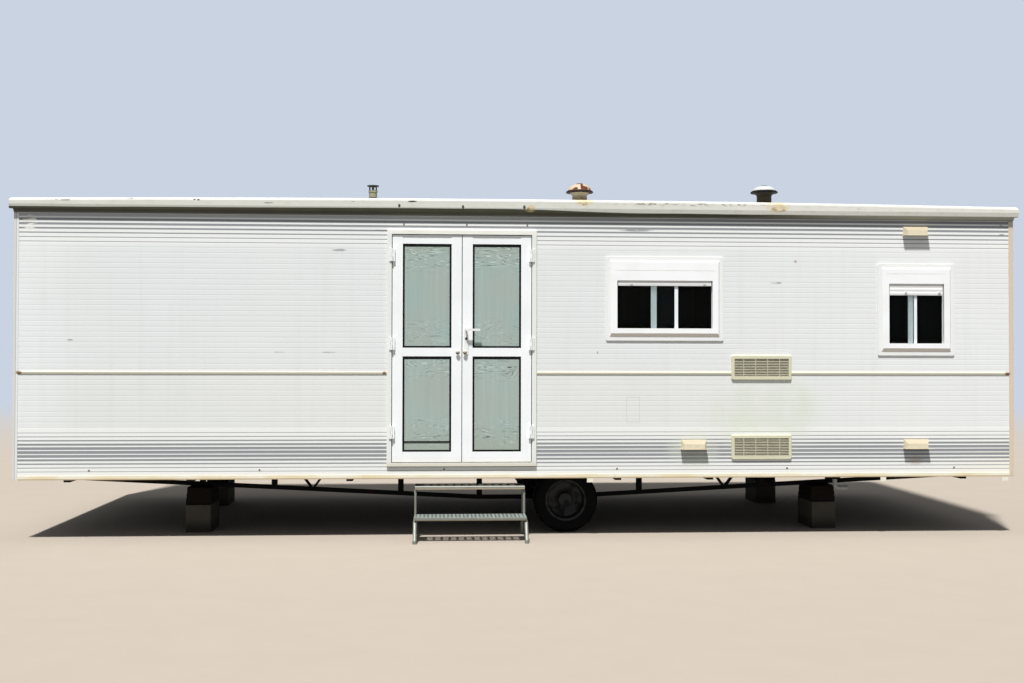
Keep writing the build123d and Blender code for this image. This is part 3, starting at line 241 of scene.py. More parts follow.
lining = Coat("room_lining", roughness=0.55, specular=0.4)
lining_pitch = 0.6
along = lining.maths("ADD", lining.x, lining.y)
joint_edge = lining.from_nearest(along, lining_pitch)
lining_joint = lining.ramp(joint_edge, 0.008, 0.002)
wood_print = lining.clouds(14.0, 6.0, stretch=(1.0, 1.0, 0.12), twist=0.5)
lining_print = lining.mix(wood_print, shade(70, 49, 34), shade(104, 76, 53))
lining.paint(lining.mix(lining_joint, lining_print, shade(38, 27, 20), 0.7))
lining.relief(lining.maths("SUBTRACT", wood_print, lining_joint), 0.0006)
wall_cores = (
    "front_wall_left",
    "front_wall_right",
    "front_wall_middle",
    "rear_wall",
    "left_end_wall",
    "right_end_wall",
)
dress(lining, *wall_cores)

# Cladding: thin pressed aluminium sheets, an upper and a lower one on each wall.
# Stove-enamelled white, with grey lines rolled on along the grooves near foot and eaves.
# The sheets are glued to the cores, screwed along the foot and held by the corner trims.

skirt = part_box("base_trims")[0].z
joint_low, joint_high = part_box("joint_trims")
joint_z = (joint_low.z + joint_high.z) / 2
wall_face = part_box("front_cladding_left")[0].y
foot_line = 0.534
foot_pitch = 0.0303
foot_lines = 11
eaves_line = 2.542
eaves_pitch = 0.0347
eaves_lines = 7
field_pitch = 0.0415
lower_grooves = 11
upper_grooves = 24
dirt_width = 0.012


def lines(coat, first, pitch, count, boldest, bold, fine):
    """Level painted lines, boldest at one of them and finer away from it, as a share from 0 to 1."""
    place = coat.maths("DIVIDE", coat.maths("SUBTRACT", coat.z, first), pitch)
    number = coat.maths("ROUND", place)
    number = coat.maths("MINIMUM", coat.maths("MAXIMUM", number, 0.0), count - 1.0)
    from_line = coat.off(place, number)
    reach = max(boldest, count - 1 - boldest)
    away = coat.maths("DIVIDE", coat.off(number, boldest), reach)
    half = coat.ramp(away, 0.0, 1.0, bold / abs(pitch) / 2, fine / abs(pitch) / 2)
    blur = 0.035
    return coat.ramp(from_line, coat.maths("ADD", half, blur), coat.maths("SUBTRACT", half, blur))


def blot(coat, x, z, half_width, half_height, core=0.1):
    """A soft oval mark on a wall, as a share from 0 at its rim to 1 in its middle."""
    aside = coat.maths("DIVIDE", coat.maths("SUBTRACT", coat.x, x), half_width)
    above = coat.maths("DIVIDE", coat.maths("SUBTRACT", coat.z, z), half_height)
    square = coat.maths("ADD", coat.times(aside, aside), coat.times(above, above))
    return coat.ramp(square, 1.0, core)


def blots(coat, places, core=0.1):
    """Several marks as one share."""
    total = blot(coat, *places[0], core)
    for place in places[1:]:
        total = coat.maths("MAXIMUM", total, blot(coat, *place, core))
    return total


cladding = Coat("enamelled_cladding", roughness=0.42, specular=0.35)
front_only = cladding.ramp(cladding.y, wall_face + 0.03, wall_face + 0.02)

over_joint = cladding.ramp(cladding.z, joint_z - 0.1, joint_z + 0.1)
enamel = cladding.mix(over_joint, shade(226, 227, 223), shade(227, 229, 228))
patches = cladding.ramp(cladding.clouds(0.9, 3.0), 0.35, 0.65)
enamel = cladding.mix(patches, enamel, shade(231, 229, 224), 0.3)
enamel = cladding.mix(cladding.ramp(cladding.x, 0.5, 4.0), enamel, shade(239, 239, 237), 0.55)
enamel = cladding.mix(cladding.ramp(cladding.x, -3.4, -4.0), enamel, shade(239, 240, 239), 0.5)
rain = cladding.ramp(cladding.clouds(5.0, 5.0, stretch=(3.0, 3.0, 0.12)), 0.48, 0.75)
enamel = cladding.mix(rain, enamel, shade(205, 203, 192), 0.1)
splashed = cladding.ramp(cladding.z, 0.62, 0.48)
enamel = cladding.mix(splashed, enamel, shade(236, 232, 216), 0.5)
to_the_right = cladding.ramp(cladding.x, 3.2, 4.0)
warm_corner = cladding.times(to_the_right, cladding.ramp(cladding.z, 0.9, 0.5))
enamel = cladding.mix(cladding.times(warm_corner, front_only), enamel, shade(242, 232, 208))

foot_band = cladding.ramp(cladding.z, 0.9, 0.86)
eaves_band = cladding.ramp(cladding.z, 2.29, 2.33)
enamel = cladding.mix(cladding.maths("ADD", foot_band, eaves_band), enamel, shade(248, 247, 242), 0.5)
grey = cladding.mix(cladding.clouds(1.7, 3.0), shade(142, 143, 146), shade(151, 152, 154))
foot_share = lines(cladding, foot_line, foot_pitch, foot_lines, boldest=5, bold=0.0232, fine=0.0045)
enamel = cladding.mix(foot_share, enamel, grey)
eaves_share = lines(cladding, eaves_line, -eaves_pitch, eaves_lines, boldest=0, bold=0.023, fine=0.005)
# The top line under the eaves is painted lighter at the left end and darker at the right: painted light
# and shade in the eaves' shadow.
top_line_light_and_shade = cladding.mix(cladding.ramp(cladding.x, -1.0, 2.0), shade(184, 184, 184), shade(136, 136, 139))
top_line = cladding.ramp(cladding.z, 2.52, 2.528)
enamel = cladding.mix(eaves_share, enamel, cladding.mix(top_line, grey, top_line_light_and_shade))

field_low = foot_line + (foot_lines - 1) * foot_pitch + field_pitch
field_high = eaves_line - (eaves_lines - 1) * eaves_pitch - field_pitch
lower_dirt = lines(cladding, field_low, field_pitch, lower_grooves, 5, dirt_width, dirt_width)
upper_dirt = lines(cladding, field_high, -field_pitch, upper_grooves, 12, dirt_width, dirt_width)
patchy = cladding.ramp(cladding.clouds(2.2, 4.0), 0.3, 0.7, 0.0, 0.1)
groove_dirt = cladding.times(cladding.maths("MAXIMUM", lower_dirt, upper_dirt), patchy)
enamel = cladding.mix(groove_dirt, enamel, shade(194, 192, 184))

algae_places = ((1.91, 0.95, 0.55, 0.35), (2.15, 1.02, 0.3, 0.3), (1.35, 0.7, 0.25, 0.2))
algae = cladding.times(blots(cladding, algae_places), front_only)
growth = cladding.ramp(cladding.clouds(6.0, 4.0), 0.2, 0.8, 0.1, 0.55)
enamel = cladding.mix(cladding.times(algae, growth), enamel, shade(214, 219, 196))

smudge_places = (
    (-1.486, 2.281, 0.075, 0.013),
    (-3.569, 1.562, 0.03, 0.012),
    (2.03, 2.04, 0.06, 0.012),
    (0.575, 1.475, 0.008, 0.015),
    (-1.56, 1.47, 0.07, 0.008),
    (-1.95, 1.471, 0.05, 0.006),
    (-1.16, 2.44, 0.09, 0.008),
    (0.89, 2.458, 0.17, 0.014),
    (2.19, 2.215, 0.012, 0.012),
    (3.905, 2.518, 0.022, 0.014),
    (3.91, 2.446, 0.03, 0.01),
)
smudges = cladding.times(blots(cladding, smudge_places), front_only)
wiped = cladding.ramp(cladding.clouds(40.0, 3.0, (0.4, 1.0, 2.0)), 0.3, 0.6, 0.2, 0.75)
enamel = cladding.mix(cladding.times(smudges, wiped), enamel, shade(122, 124, 128))

rust_places = (
    (2.19, 2.215, 0.016, 0.018),
    (3.184, 0.60, 0.07, 0.05),
    (-0.09, 1.12, 0.03, 0.02),
)
rust_marks = cladding.times(blots(cladding, rust_places), front_only)
enamel = cladding.mix(rust_marks, enamel, shade(186, 142, 112), 0.35)

plate_x = 0.863
plate_z = 1.0145
plate_width = 0.104
plate_height = 0.201
beside = cladding.maths("SUBTRACT", cladding.off(cladding.x, plate_x), plate_width / 2)
beyond = cladding.maths("SUBTRACT", cladding.off(cladding.z, plate_z), plate_height / 2)
from_edge = cladding.maths("ABSOLUTE", cladding.maths("MAXIMUM", beside, beyond))
ghost = cladding.times(cladding.ramp(from_edge, 0.005, 0.001), front_only)
enamel = cladding.mix(ghost, enamel, shade(196, 198, 196), 0.5)

smear = cladding.times(blot(cladding, -3.885, 2.482, 0.066, 0.068, 0.5), front_only)
strokes = cladding.ramp(cladding.clouds(16.0, 4.0, (0.35, 1.0, 1.6), 1.5), 0.42, 0.55)
enamel = cladding.mix(cladding.times(smear, strokes), enamel, shade(228, 226, 216))

hook_places = [(x, 2.489, 0.008, 0.014) for x in (-0.974, -0.474, 0.009)]
hooks = cladding.times(blots(cladding, hook_places, 0.6), front_only)
enamel = cladding.mix(hooks, enamel, shade(96, 88, 84), 0.8)

cladding.paint(enamel)
cladding.shine(cladding.ramp(cladding.clouds(3.0, 4.0), 0.3, 0.7, 0.36, 0.5))
cladding.relief(cladding.clouds(2.4, 2.0, stretch=(1.0, 1.0, 0.6)), 0.0035)
claddings = (
    "front_cladding_left",
    "front_cladding_right",
    "front_cladding_middle",
    "rear_cladding",
    "left_end_cladding",
    "right_end_cladding",
)
dress(cladding, *claddings)


def piece(name, shape, coat, body="home"):
    """Finish a new piece: its mesh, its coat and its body."""
    bmesh.ops.remove_doubles(shape, verts=shape.verts, dist=1e-6)
    bmesh.ops.recalc_face_normals(shape, faces=shape.faces)
    mesh = bpy.data.meshes.new(name)
    shape.to_mesh(mesh)
    shape.free()
    mesh.materials.append(coat.material)
    made = bpy.data.objects.new(name, mesh)
    bpy.context.scene.collection.objects.link(made)
    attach(made, body)


def turned(shape, place, way, profile, steps=16):
    """Spin a half profile, given as (radius, reach), about a point along one way."""
    way = Vector(way).normalized()
    side = way.orthogonal().normalized()
    verts = [shape.verts.new(Vector(place) + side * radius + way * reach) for radius, reach in profile]
    edges = [shape.edges.new(pair) for pair in zip(verts, verts[1:])]
    bmesh.ops.spin(
        shape,
        geom=verts + edges,
        cent=Vector(place),
        axis=way,
        dvec=Vector(),
        angle=2 * math.pi,
        steps=steps,
        use_merge=True,
        use_duplicate=False,
    )


rusty_screw = Coat("rusty_screw", roughness=0.8, metallic=0.3)
rusty_screw.two_tone(300.0, 3.0, shade(128, 104, 84), shade(168, 150, 128))
rusty_screw.relief(rusty_screw.clouds(500.0, 2.0), 0.0004)
screw_z = 0.545
screw_places = (-3.417, -2.1, -0.65, 0.733, 2.117, 3.5)
screw_head = (
    (0.0, -0.001),
    (0.008, -0.001),
    (0.008, 0.0012),
    (0.0055, 0.0018),
    (0.0045, 0.004),
    (0.0, 0.0045),
)
rear_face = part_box("rear_cladding")[1].y
to_front = (0, -1, 0)
to_rear = (0, 1, 0)
screws = bmesh.new()
for x in screw_places:
    turned(screws, (x, wall_face, screw_z), to_front, screw_head)
    turned(screws, (-x, rear_face, screw_z), to_rear, screw_head)
piece("cladding_screws", screws, rusty_screw)

# Trims: corner angles, half-round covers over the sheet joint, a base angle and three tabs.
# Pressed aluminium in cream white, yellowed by age and rusty where the screws have bled.
# They are riveted over the edges of the cladding.

trim = Coat("cream_trim", roughness=0.5, specular=0.35)
post_edge = 3.964
flange_edge = -3.982
yellowed = trim.ramp(trim.clouds(3.5, 5.0, stretch=(1.0, 1.0, 3.0)), 0.35, 0.7)
down_the_wall = trim.ramp(trim.z, joint_z + 0.3, skirt + 0.2)
fresh = trim.mix(down_the_wall, shade(230, 229, 226), shade(239, 234, 215))
near_skirt = trim.ramp(trim.z, skirt + 0.15, skirt + 0.03)
aged = trim.mix(near_skirt, shade(231, 226, 212), shade(230, 216, 180))
cream = trim.mix(yellowed, fresh, aged)
low_edge = trim.ramp(trim.z, skirt + 0.015, skirt + 0.003)
cream = trim.mix(low_edge, cream, shade(176, 146, 100), 0.8)
on_tab = trim.ramp(trim.z, skirt - 0.001, skirt - 0.003)
cream = trim.mix(on_tab, cream, shade(236, 230, 212))

from_middle = trim.maths("ABSOLUTE", trim.x)
between_posts = trim.ramp(from_middle, 3.99, 3.97)
# The bead's front below its top is painted olive as painted shade, and its underside is painted lighter
# as painted light against its own shade.
on_bead = trim.ramp(trim.off(trim.z, joint_z), 0.016, 0.015)
bead_shaded_face = trim.ramp(trim.z, joint_z + 0.009, joint_z + 0.005)
bead_painted_shade = trim.mix(bead_shaded_face, shade(228, 220, 196), shade(178, 173, 153))
cream = trim.mix(trim.times(on_bead, between_posts), cream, bead_painted_shade)
bead_foot = trim.ramp(trim.z, joint_low.z - 0.002, joint_low.z - 0.001)
bead_underside_painted_light = trim.times(trim.ramp(trim.z, joint_z + 0.001, joint_z - 0.003), bead_foot)
cream = trim.mix(trim.times(bead_underside_painted_light, between_posts), cream, shade(238, 233, 214))

post_tint = trim.mix(trim.ramp(trim.x, -0.1, 0.1), shade(213, 210, 204), shade(212, 192, 170))
on_post = trim.ramp(from_middle, post_edge - 0.002, post_edge + 0.002)
cream = trim.mix(on_post, cream, post_tint, 0.85)
on_front = trim.ramp(trim.y, wall_face + 0.01, wall_face)
inner_half = trim.ramp(trim.x, flange_edge - 0.001, flange_edge)
inner_half = trim.times(inner_half, trim.ramp(trim.x, -3.96, -3.961))
cream = trim.mix(trim.times(inner_half, on_front), cream, shade(229, 230, 228))
flange_line = trim.ramp(trim.off(trim.x, flange_edge), 0.003, 0.0015)
cream = trim.mix(flange_line, cream, shade(140, 140, 138), 0.6)

bead_ends = (
    (-3.955, joint_z, 0.03, 0.02),
    (-1.125, joint_z, 0.02, 0.02),
    (3.95, joint_z, 0.03, 0.02),
)
cream = trim.mix(blots(trim, bead_ends), cream, shade(128, 98, 66))
bleeding = trim.ramp(trim.clouds(11.0, 5.0, stretch=(1.0, 1.0, 0.3)), 0.64, 0.74)
trim.paint(trim.mix(bleeding, cream, shade(176, 134, 96), 0.35))
trim.shine(trim.ramp(yellowed, 0.0, 1.0, 0.42, 0.62))
trim.relief(trim.clouds(60.0, 3.0), 0.0004)
dress(trim, "corner_trims", "joint_trims", "base_trims", "skirt_tabs")

# Roof: an arched foam panel under lapped sheets with standing seams, and trims round the edge.
# Galvanised sheet gone dull on top; the eaves trims are painted white and stained by rust.
# The sheets are folded over the trims, whose drip lip throws the rain clear of the wall.

foam = Coat("roof_foam", roughness=0.9, specular=0.15)
foam.two_tone(120.0, 4.0, shade(206, 196, 160), shade(228, 220, 190))
foam.relief(foam.clouds(220.0, 3.0), 0.001)
dress(foam, "roof_panel")

roofing = Coat("roof_sheet", roughness=0.5, metallic=0.35)
moss = roofing.ramp(roofing.clouds(2.2, 6.0), 0.5, 0.75)
zinc = roofing.mix(roofing.clouds(26.0, 4.0), shade(158, 160, 160), shade(184, 185, 183))
roofing.paint(roofing.mix(moss, zinc, shade(112, 104, 88), 0.6))
roofing.shine(roofing.ramp(moss, 0.0, 1.0, 0.42, 0.8))
roofing.relief(roofing.clouds(5.0, 3.0), 0.003)
dress(roofing, "roof_sheets")

edging = Coat("eaves_paint", roughness=0.5, specular=0.35)
edging_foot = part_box("eaves_trims")[0].z
bleached = edging.mix(edging.clouds(2.0, 4.0), shade(221, 221, 212), shade(212, 211, 198))
bleached = edging.mix(edging.ramp(edging.x, 0.0, 2.5), bleached, shade(226, 223, 213))
# The rolled top of the trims is painted a little darker: painted shade against the light that falls on
# it.
rolled_top_painted_shade = edging.ramp(edging.z, edging_foot + 0.085, edging_foot + 0.12)
white = edging.mix(rolled_top_painted_shade, bleached, shade(214, 213, 205))
mottle = edging.ramp(edging.clouds(30.0, 5.0, stretch=(0.5, 1.0, 1.0)), 0.5, 0.7)
white = edging.mix(mottle, white, shade(186, 180, 154), 0.22)
drips = edging.ramp(edging.clouds(9.0, 6.0, stretch=(1.0, 1.0, 0.25)), 0.6, 0.8)
white = edging.mix(drips, white, shade(202, 194, 166), 0.22)

# Painted shade along the lower fold of the eaves trims: deepest at the left, lighter to the right and at
# the drip lip, its upper line rising to the left.
rise_left = edging.ramp(edging.x, -4.0, -0.8, 0.012, 0.024)
shade_line = edging.maths("ADD", edging.ramp(edging.x, 1.0, -0.2, 0.0, rise_left), edging_foot + 0.026)
shade_line = edging.maths("ADD", shade_line, edging.times(edging.clouds(1.7, 4.0), 0.006))
above_shade_line = edging.maths("SUBTRACT", edging.z, shade_line)
fold_painted_shade = edging.mix(edging.clouds(7.0, 5.0), shade(62, 60, 45), shade(80, 77, 60))
fold_painted_shade = edging.mix(edging.ramp(edging.x, 1.6, 3.0), fold_painted_shade, shade(171, 169, 152))
drip_lip = edging.ramp(edging.z, edging_foot + 0.012, edging_foot + 0.004)
fold_painted_shade = edging.mix(drip_lip, fold_painted_shade, shade(116, 116, 110), 0.7)
white = edging.mix(edging.ramp(above_shade_line, 0.006, 0.0), white, fold_painted_shade)

edge_front = edging.ramp(edging.y, wall_face + 0.01, wall_face)
stain_places = (
    (0.03, 2.62, 0.055, 0.035),
    (0.46, 2.69, 0.10, 0.06),
    (2.03, 2.66, 0.12, 0.07),
)
stains = edging.times(blots(edging, stain_places), edge_front)
stains = edging.times(stains, edging.ramp(edging.clouds(20.0, 4.0), 0.3, 0.6, 0.2))
white = edging.mix(stains, white, shade(214, 186, 122), 0.7)
speck_places = (
    (0.03, 2.61, 0.05, 0.028),
    (0.45, 2.665, 0.06, 0.02),
    (2.03, 2.63, 0.1, 0.022),
    (1.3, 2.664, 0.75, 0.016),
)
specks = edging.times(blots(edging, speck_places), edge_front)
specks = edging.times(specks, edging.ramp(edging.clouds(48.0, 5.0, (0.5, 1.0, 1.1)), 0.5, 0.62))
white = edging.mix(specks, white, shade(112, 98, 72), 0.7)
scuff_places = (
    (-3.62, 2.655, 0.1, 0.01),
    (-3.108, 2.669, 0.06, 0.008),
    (-2.037, 2.645, 0.05, 0.006),
    (-1.35, 2.662, 0.05, 0.005),
    (1.2, 2.66, 0.05, 0.005),
    (2.72, 2.64, 0.05, 0.004),
)
scuffs = edging.times(blots(edging, scuff_places), edge_front)
scuffs = edging.times(scuffs, edging.ramp(edging.clouds(60.0, 3.0, (0.5, 1.0, 1.0)), 0.4, 0.55))
white = edging.mix(scuffs, white, shade(112, 104, 88), 0.8)
hole_places = (
    (-2.608, 2.667, 0.011, 0.008),
    (-2.578, 2.665, 0.012, 0.008),
    (-0.907, 2.667, 0.04, 0.008),
    (-1.010, 2.632, 0.011, 0.017),
    (-0.506, 2.627, 0.011, 0.017),
    (-0.018, 2.629, 0.012, 0.018),
)
holes = edging.times(blots(edging, hole_places, 0.5), edge_front)
white = edging.mix(holes, white, shade(40, 32, 26), 0.92)
edging.paint(white)
edging.shine(edging.ramp(drips, 0.0, 1.0, 0.45, 0.65))
edging.relief(edging.clouds(3.2, 2.0), 0.004)
dress(edging, "eaves_trims", "end_roof_trims")

# Roof fittings: a capped flue and two mushroom vents on the front slope of the roof.
# The flue is stainless, the left vent has rusted through its paint, the right one is white.
# Each stands on a flanged foot that is screwed and sealed to the roof sheets.

flue_steel = Coat("flue_steel", roughness=0.55, metallic=0.3)
flue_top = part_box("flue")[1].z
soot = flue_steel.ramp(flue_steel.z, flue_top - 0.05, flue_top - 0.035)
flue_base = flue_steel.mix(flue_steel.clouds(30.0, 4.0), shade(148, 146, 116), shade(182, 180, 150))
flue_seal = 2.767
sealed = flue_steel.ramp(flue_steel.z, flue_seal + 0.003, flue_seal - 0.003)
flue_base = flue_steel.mix(sealed, flue_base, shade(44, 36, 28))
flue_steel.paint(flue_steel.mix(soot, flue_base, shade(50, 46, 42), 0.9))
flue_steel.relief(flue_steel.clouds(80.0, 2.0), 0.0006)
dress(flue_steel, "flue")


def vent_coat(name, node, cap_height, crown, rim_tint, neck_tint, stain, rust_share, streaks=()):
    """A mushroom vent: pale crown, dark rim, and a neck that is stained from the foot up."""
    coat = Coat(name, roughness=0.55, specular=0.3)
    low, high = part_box(node)
    middle = (low.x + high.x) / 2
    rim = high.z - cap_height
    crown_share = coat.ramp(coat.z, rim + 0.016, rim + 0.021)
    under_rim = coat.ramp(coat.z, rim - 0.001, rim - 0.004)
    lower_neck = coat.ramp(coat.z, rim - 0.02, rim - 0.05)
    on_nub = coat.ramp(coat.z, high.z - 0.010, high.z - 0.007)
    rust = coat.ramp(coat.clouds(16.0, 6.0), 0.62 - rust_share / 2, 0.72 - rust_share / 2)
    for aside, down, half_width, half_height in streaks:
        run = blot(coat, middle + aside, high.z - down, half_width, half_height, 0.5)
        rust = coat.maths("MAXIMUM", rust, run)
    spread = coat.maths("MAXIMUM", coat.times(rust, crown_share), on_nub)
    neck_rust = coat.times(lower_neck, coat.ramp(rust, 0.0, 1.0, 0.45, 1.0))
    spread = coat.maths("MAXIMUM", spread, neck_rust)
    paint = coat.mix(crown_share, rim_tint, crown)
    paint = coat.mix(under_rim, paint, neck_tint)
    coat.paint(coat.mix(spread, paint, stain))
    coat.shine(coat.ramp(spread, 0.0, 1.0, 0.5, 0.85))
    coat.relief(coat.clouds(110.0, 4.0), 0.0012)
    dress(coat, node)


vent_coat(
    "rusty_vent",
    "rusty_roof_vent",
    cap_height=0.078,
    crown=shade(204, 176, 148),
    rim_tint=shade(46, 28, 20),
    neck_tint=shade(206, 194, 160),
    stain=shade(92, 50, 30),
    rust_share=0.2,
    streaks=((0.010, 0.035, 0.014, 0.045), (0.045, 0.05, 0.018, 0.02), (-0.05, 0.06, 0.02, 0.012)),
)
vent_coat(
    "white_vent",
    "white_roof_vent",
    cap_height=0.064,
    crown=shade(196, 198, 194),
    rim_tint=shade(16, 14, 12),
    neck_tint=shade(60, 52, 38),
    stain=shade(92, 84, 66),
    rust_share=0.0,
)

# Door frame: jambs, head and sill of cream extrusion set into the wall, with three hinges a side.
# Powder-coated aluminium, yellowed at the foot; the hinges are coated white all over.
# The frame is screwed through the wall core and sealed over the cladding.

door_low, door_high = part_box("door_jambs")
frame_cream = Coat("door_frame_cream", roughness=0.45, specular=0.4)
frame_age = frame_cream.ramp(frame_cream.clouds(5.0, 4.0), 0.3, 0.75)
frame_paint = frame_cream.mix(frame_age, shade(240, 239, 231), shade(233, 230, 214))
below_head = frame_cream.ramp(frame_cream.z, door_high.z - 0.02, door_high.z - 0.04)
frame_paint = frame_cream.mix(below_head, frame_paint, shade(228, 231, 226), 0.7)
frame_foot = frame_cream.ramp(frame_cream.z, door_low.z + 0.05, door_low.z)
frame_paint = frame_cream.mix(frame_foot, frame_paint, shade(200, 184, 150), 0.5)
frame_cream.paint(frame_paint)
frame_cream.relief(frame_cream.clouds(90.0, 2.0), 0.0003)
dress(frame_cream, "door_jambs", "door_head_and_sill")

hinge_white = Coat("hinge_white", roughness=0.35, specular=0.5)
hinge_white.two_tone(50.0, 3.0, shade(240, 241, 239), shade(228, 228, 224))
hinge_white.relief(hinge_white.clouds(150.0, 2.0), 0.0003)
dress(hinge_white, "door_hinges")

# Door leaves: two white frames with a middle rail, black gaskets and filmed glass panes.
# Powder-coated aluminium; the frosted film on the glass has crept into creases and blisters.
# Each leaf hangs on three hinges; a black bar closes a gap at the foot of the left lower pane.

leaf_white = Coat("leaf_white", roughness=0.35, specular=0.5)
leaf_dust = leaf_white.ramp(leaf_white.clouds(4.0, 5.0), 0.4, 0.75)
leaf_paint = leaf_white.mix(leaf_dust, shade(247, 248, 248), shade(236, 238, 236), 0.5)
leaf_foot = leaf_white.ramp(leaf_white.z, 0.66, 0.6)
leaf_paint = leaf_white.mix(leaf_foot, leaf_paint, shade(230, 222, 200), 0.35)
leaf_white.paint(leaf_paint)
leaf_white.relief(leaf_white.clouds(80.0, 2.0), 0.0003)
dress(leaf_white, "door_leaf_left", "door_leaf_right")

gasket = Coat("gasket_rubber", roughness=0.7, specular=0.2)
gasket.two_tone(40.0, 3.0, shade(4, 4, 4), shade(12, 12, 11))
gasket.relief(gasket.clouds(200.0, 2.0), 0.0003)
dress(gasket, "door_gaskets_left", "door_gaskets_right")

film = Coat("frosted_film", roughness=0.3, specular=0.45)
upper_pane = film.ramp(film.z, 1.46, 1.48)
sage = film.mix(upper_pane, shade(165, 180, 172), shade(161, 179, 172))
sage = film.mix(film.ramp(film.clouds(3.5, 4.0), 0.35, 0.7), sage, shade(168, 176, 168))
pane_foot = film.maths("MAXIMUM", film.ramp(film.z, 0.95, 0.7), film.ramp(film.z, 2.22, 2.33))
sage = film.mix(pane_foot, sage, shade(160, 168, 152), 0.6)
creased = film.ramp(film.z, 2.06, 2.2)
crease_rows = ((1.62, 0.16, 0.04, 0.5), (1.36, 0.15, 0.05, 0.8), (0.84, 0.16, 0.04, 0.7))
for level, outer, inner, most in crease_rows:
    slack = film.ramp(film.off(film.z, level), outer, inner, 0.0, most)
    creased = film.maths("MAXIMUM", creased, slack)
# The creases are painted with pale and dark lines on either side: painted highlight and shade of the
# folds, besides their bump.
ridges = film.clouds(4.5, 2.0, stretch=(0.7, 1.0, 4.5), twist=0.6)
folds = film.maths("SINE", film.times(ridges, 70.0))
broken = film.ramp(film.clouds(12.0, 3.0, stretch=(1.0, 1.0, 2.0)), 0.38, 0.56)
broken = film.times(broken, creased)
sage = film.mix(film.times(film.ramp(folds, 0.7, 1.0), broken), sage, shade(193, 208, 202))
sage = film.mix(film.times(film.ramp(folds, -0.75, -1.0), broken), sage, shade(112, 130, 124))
streaks = film.clouds(42.0, 2.0, stretch=(1.0, 1.0, 0.03))
sage = film.mix(film.ramp(streaks, 0.48, 0.62), sage, shade(146, 166, 160), 0.18)
sage = film.mix(film.ramp(streaks, 0.46, 0.34), sage, shade(180, 196, 190), 0.15)
blisters = blots(film, ((-0.131, 1.355, 0.022, 0.006), (-0.30, 0.80, 0.02, 0.004)), 0.5)
sage = film.mix(blisters, sage, shade(24, 28, 28), 0.9)
door_middle = (door_low.x + door_high.x) / 2
pane_middle = 0.2775
pane_half = 0.1825
# A black border is painted round each pane: the gasket's lip all round, widened at the top into a
# painted shadow of the rail above.
beside_pane = film.off(film.x, door_middle)
beside_pane = film.off(beside_pane, pane_middle)
black_edge_and_shadow = film.ramp(beside_pane, pane_half - 0.006, pane_half - 0.004)
for row_foot, row_top in ((0.695, 1.430), (1.520, 2.325)):
    top_gasket_and_shadow = film.ramp(film.off(film.z, row_top), 0.014, 0.012)
    foot_edge = film.ramp(film.off(film.z, row_foot), 0.005, 0.003)
    black_edge_and_shadow = film.maths("MAXIMUM", black_edge_and_shadow, film.maths("MAXIMUM", top_gasket_and_shadow, foot_edge))
sage = film.mix(black_edge_and_shadow, sage, shade(9, 10, 10))
film.paint(sage)
film.relief(film.times(folds, broken), 0.0003)
dress(film, "door_glass_left", "door_glass_right")


def softened_block(size, centre, edge, segments):
    """A block with rounded edges, given by its size and its middle."""
    shape = bmesh.new()
    bmesh.ops.create_cube(shape, size=1.0)
    bmesh.ops.scale(shape, verts=shape.verts, vec=size)
    bmesh.ops.translate(shape, verts=shape.verts, vec=centre)
    bmesh.ops.bevel(
        shape,
        geom=shape.edges[:],
        offset=edge,
        segments=segments,
        affect="EDGES",
        profile=0.5,
        material=-1,
        offset_type="OFFSET",
    )
    return shape


pane_low, pane_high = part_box("door_glass_left")
gap_bar_z = 0.762
gap_bar_inset = 0.006
gap_bar_size = (pane_high.x - pane_low.x - 2 * gap_bar_inset, 0.008, 0.012)
gap_bar_centre = ((pane_low.x + pane_high.x) / 2, pane_low.y, gap_bar_z)
gap_bar = softened_block(gap_bar_size, gap_bar_centre, 0.0015, 3)
piece("pane_gap_bar", gap_bar, gasket, "door_left")

# Lock: long rounded plates on both faces of the right leaf, a lever through them, two small pulls.
# White-coated metal; the keyhole has a dark cylinder and the pulls are brass, dull with tarnish below a
# painted highlight on top.
# The plates are screwed through the stile, and the lever turns a spindle in the lock.

lock_white = Coat("lock_white", roughness=0.3, specular=0.5)
lock_white.two_tone(30.0, 3.0, shade(244, 244, 242), shade(226, 225, 221))
lock_white.relief(lock_white.clouds(160.0, 2.0), 0.0002)
dress(lock_white, "lock_plates", "door_lever")

lock_low, lock_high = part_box("lock_plates")
cylinder_dark = Coat("lock_cylinder", roughness=0.4, metallic=0.6)
cylinder_dark.two_tone(200.0, 2.0, shade(34, 32, 30), shade(60, 56, 52))
keyhole_z = 1.583
keyhole_profile = (
    (0.0, -0.001),
    (0.0095, -0.001),
    (0.0095, 0.003),
    (0.0075, 0.004),
    (0.0055, 0.004),
    (0.005, 0.001),
    (0.0, 0.001),
)
keyhole = bmesh.new()
keyhole_x = (lock_low.x + lock_high.x) / 2
turned(keyhole, (keyhole_x, lock_low.y, keyhole_z), to_front, keyhole_profile, 24)
piece("lock_cylinder", keyhole, cylinder_dark, "door_right")

pull_z = 1.475
plate_depth = 0.006
leaf_face = lock_low.y + plate_depth
brass = Coat("tarnished_pull", roughness=0.45, metallic=0.3)
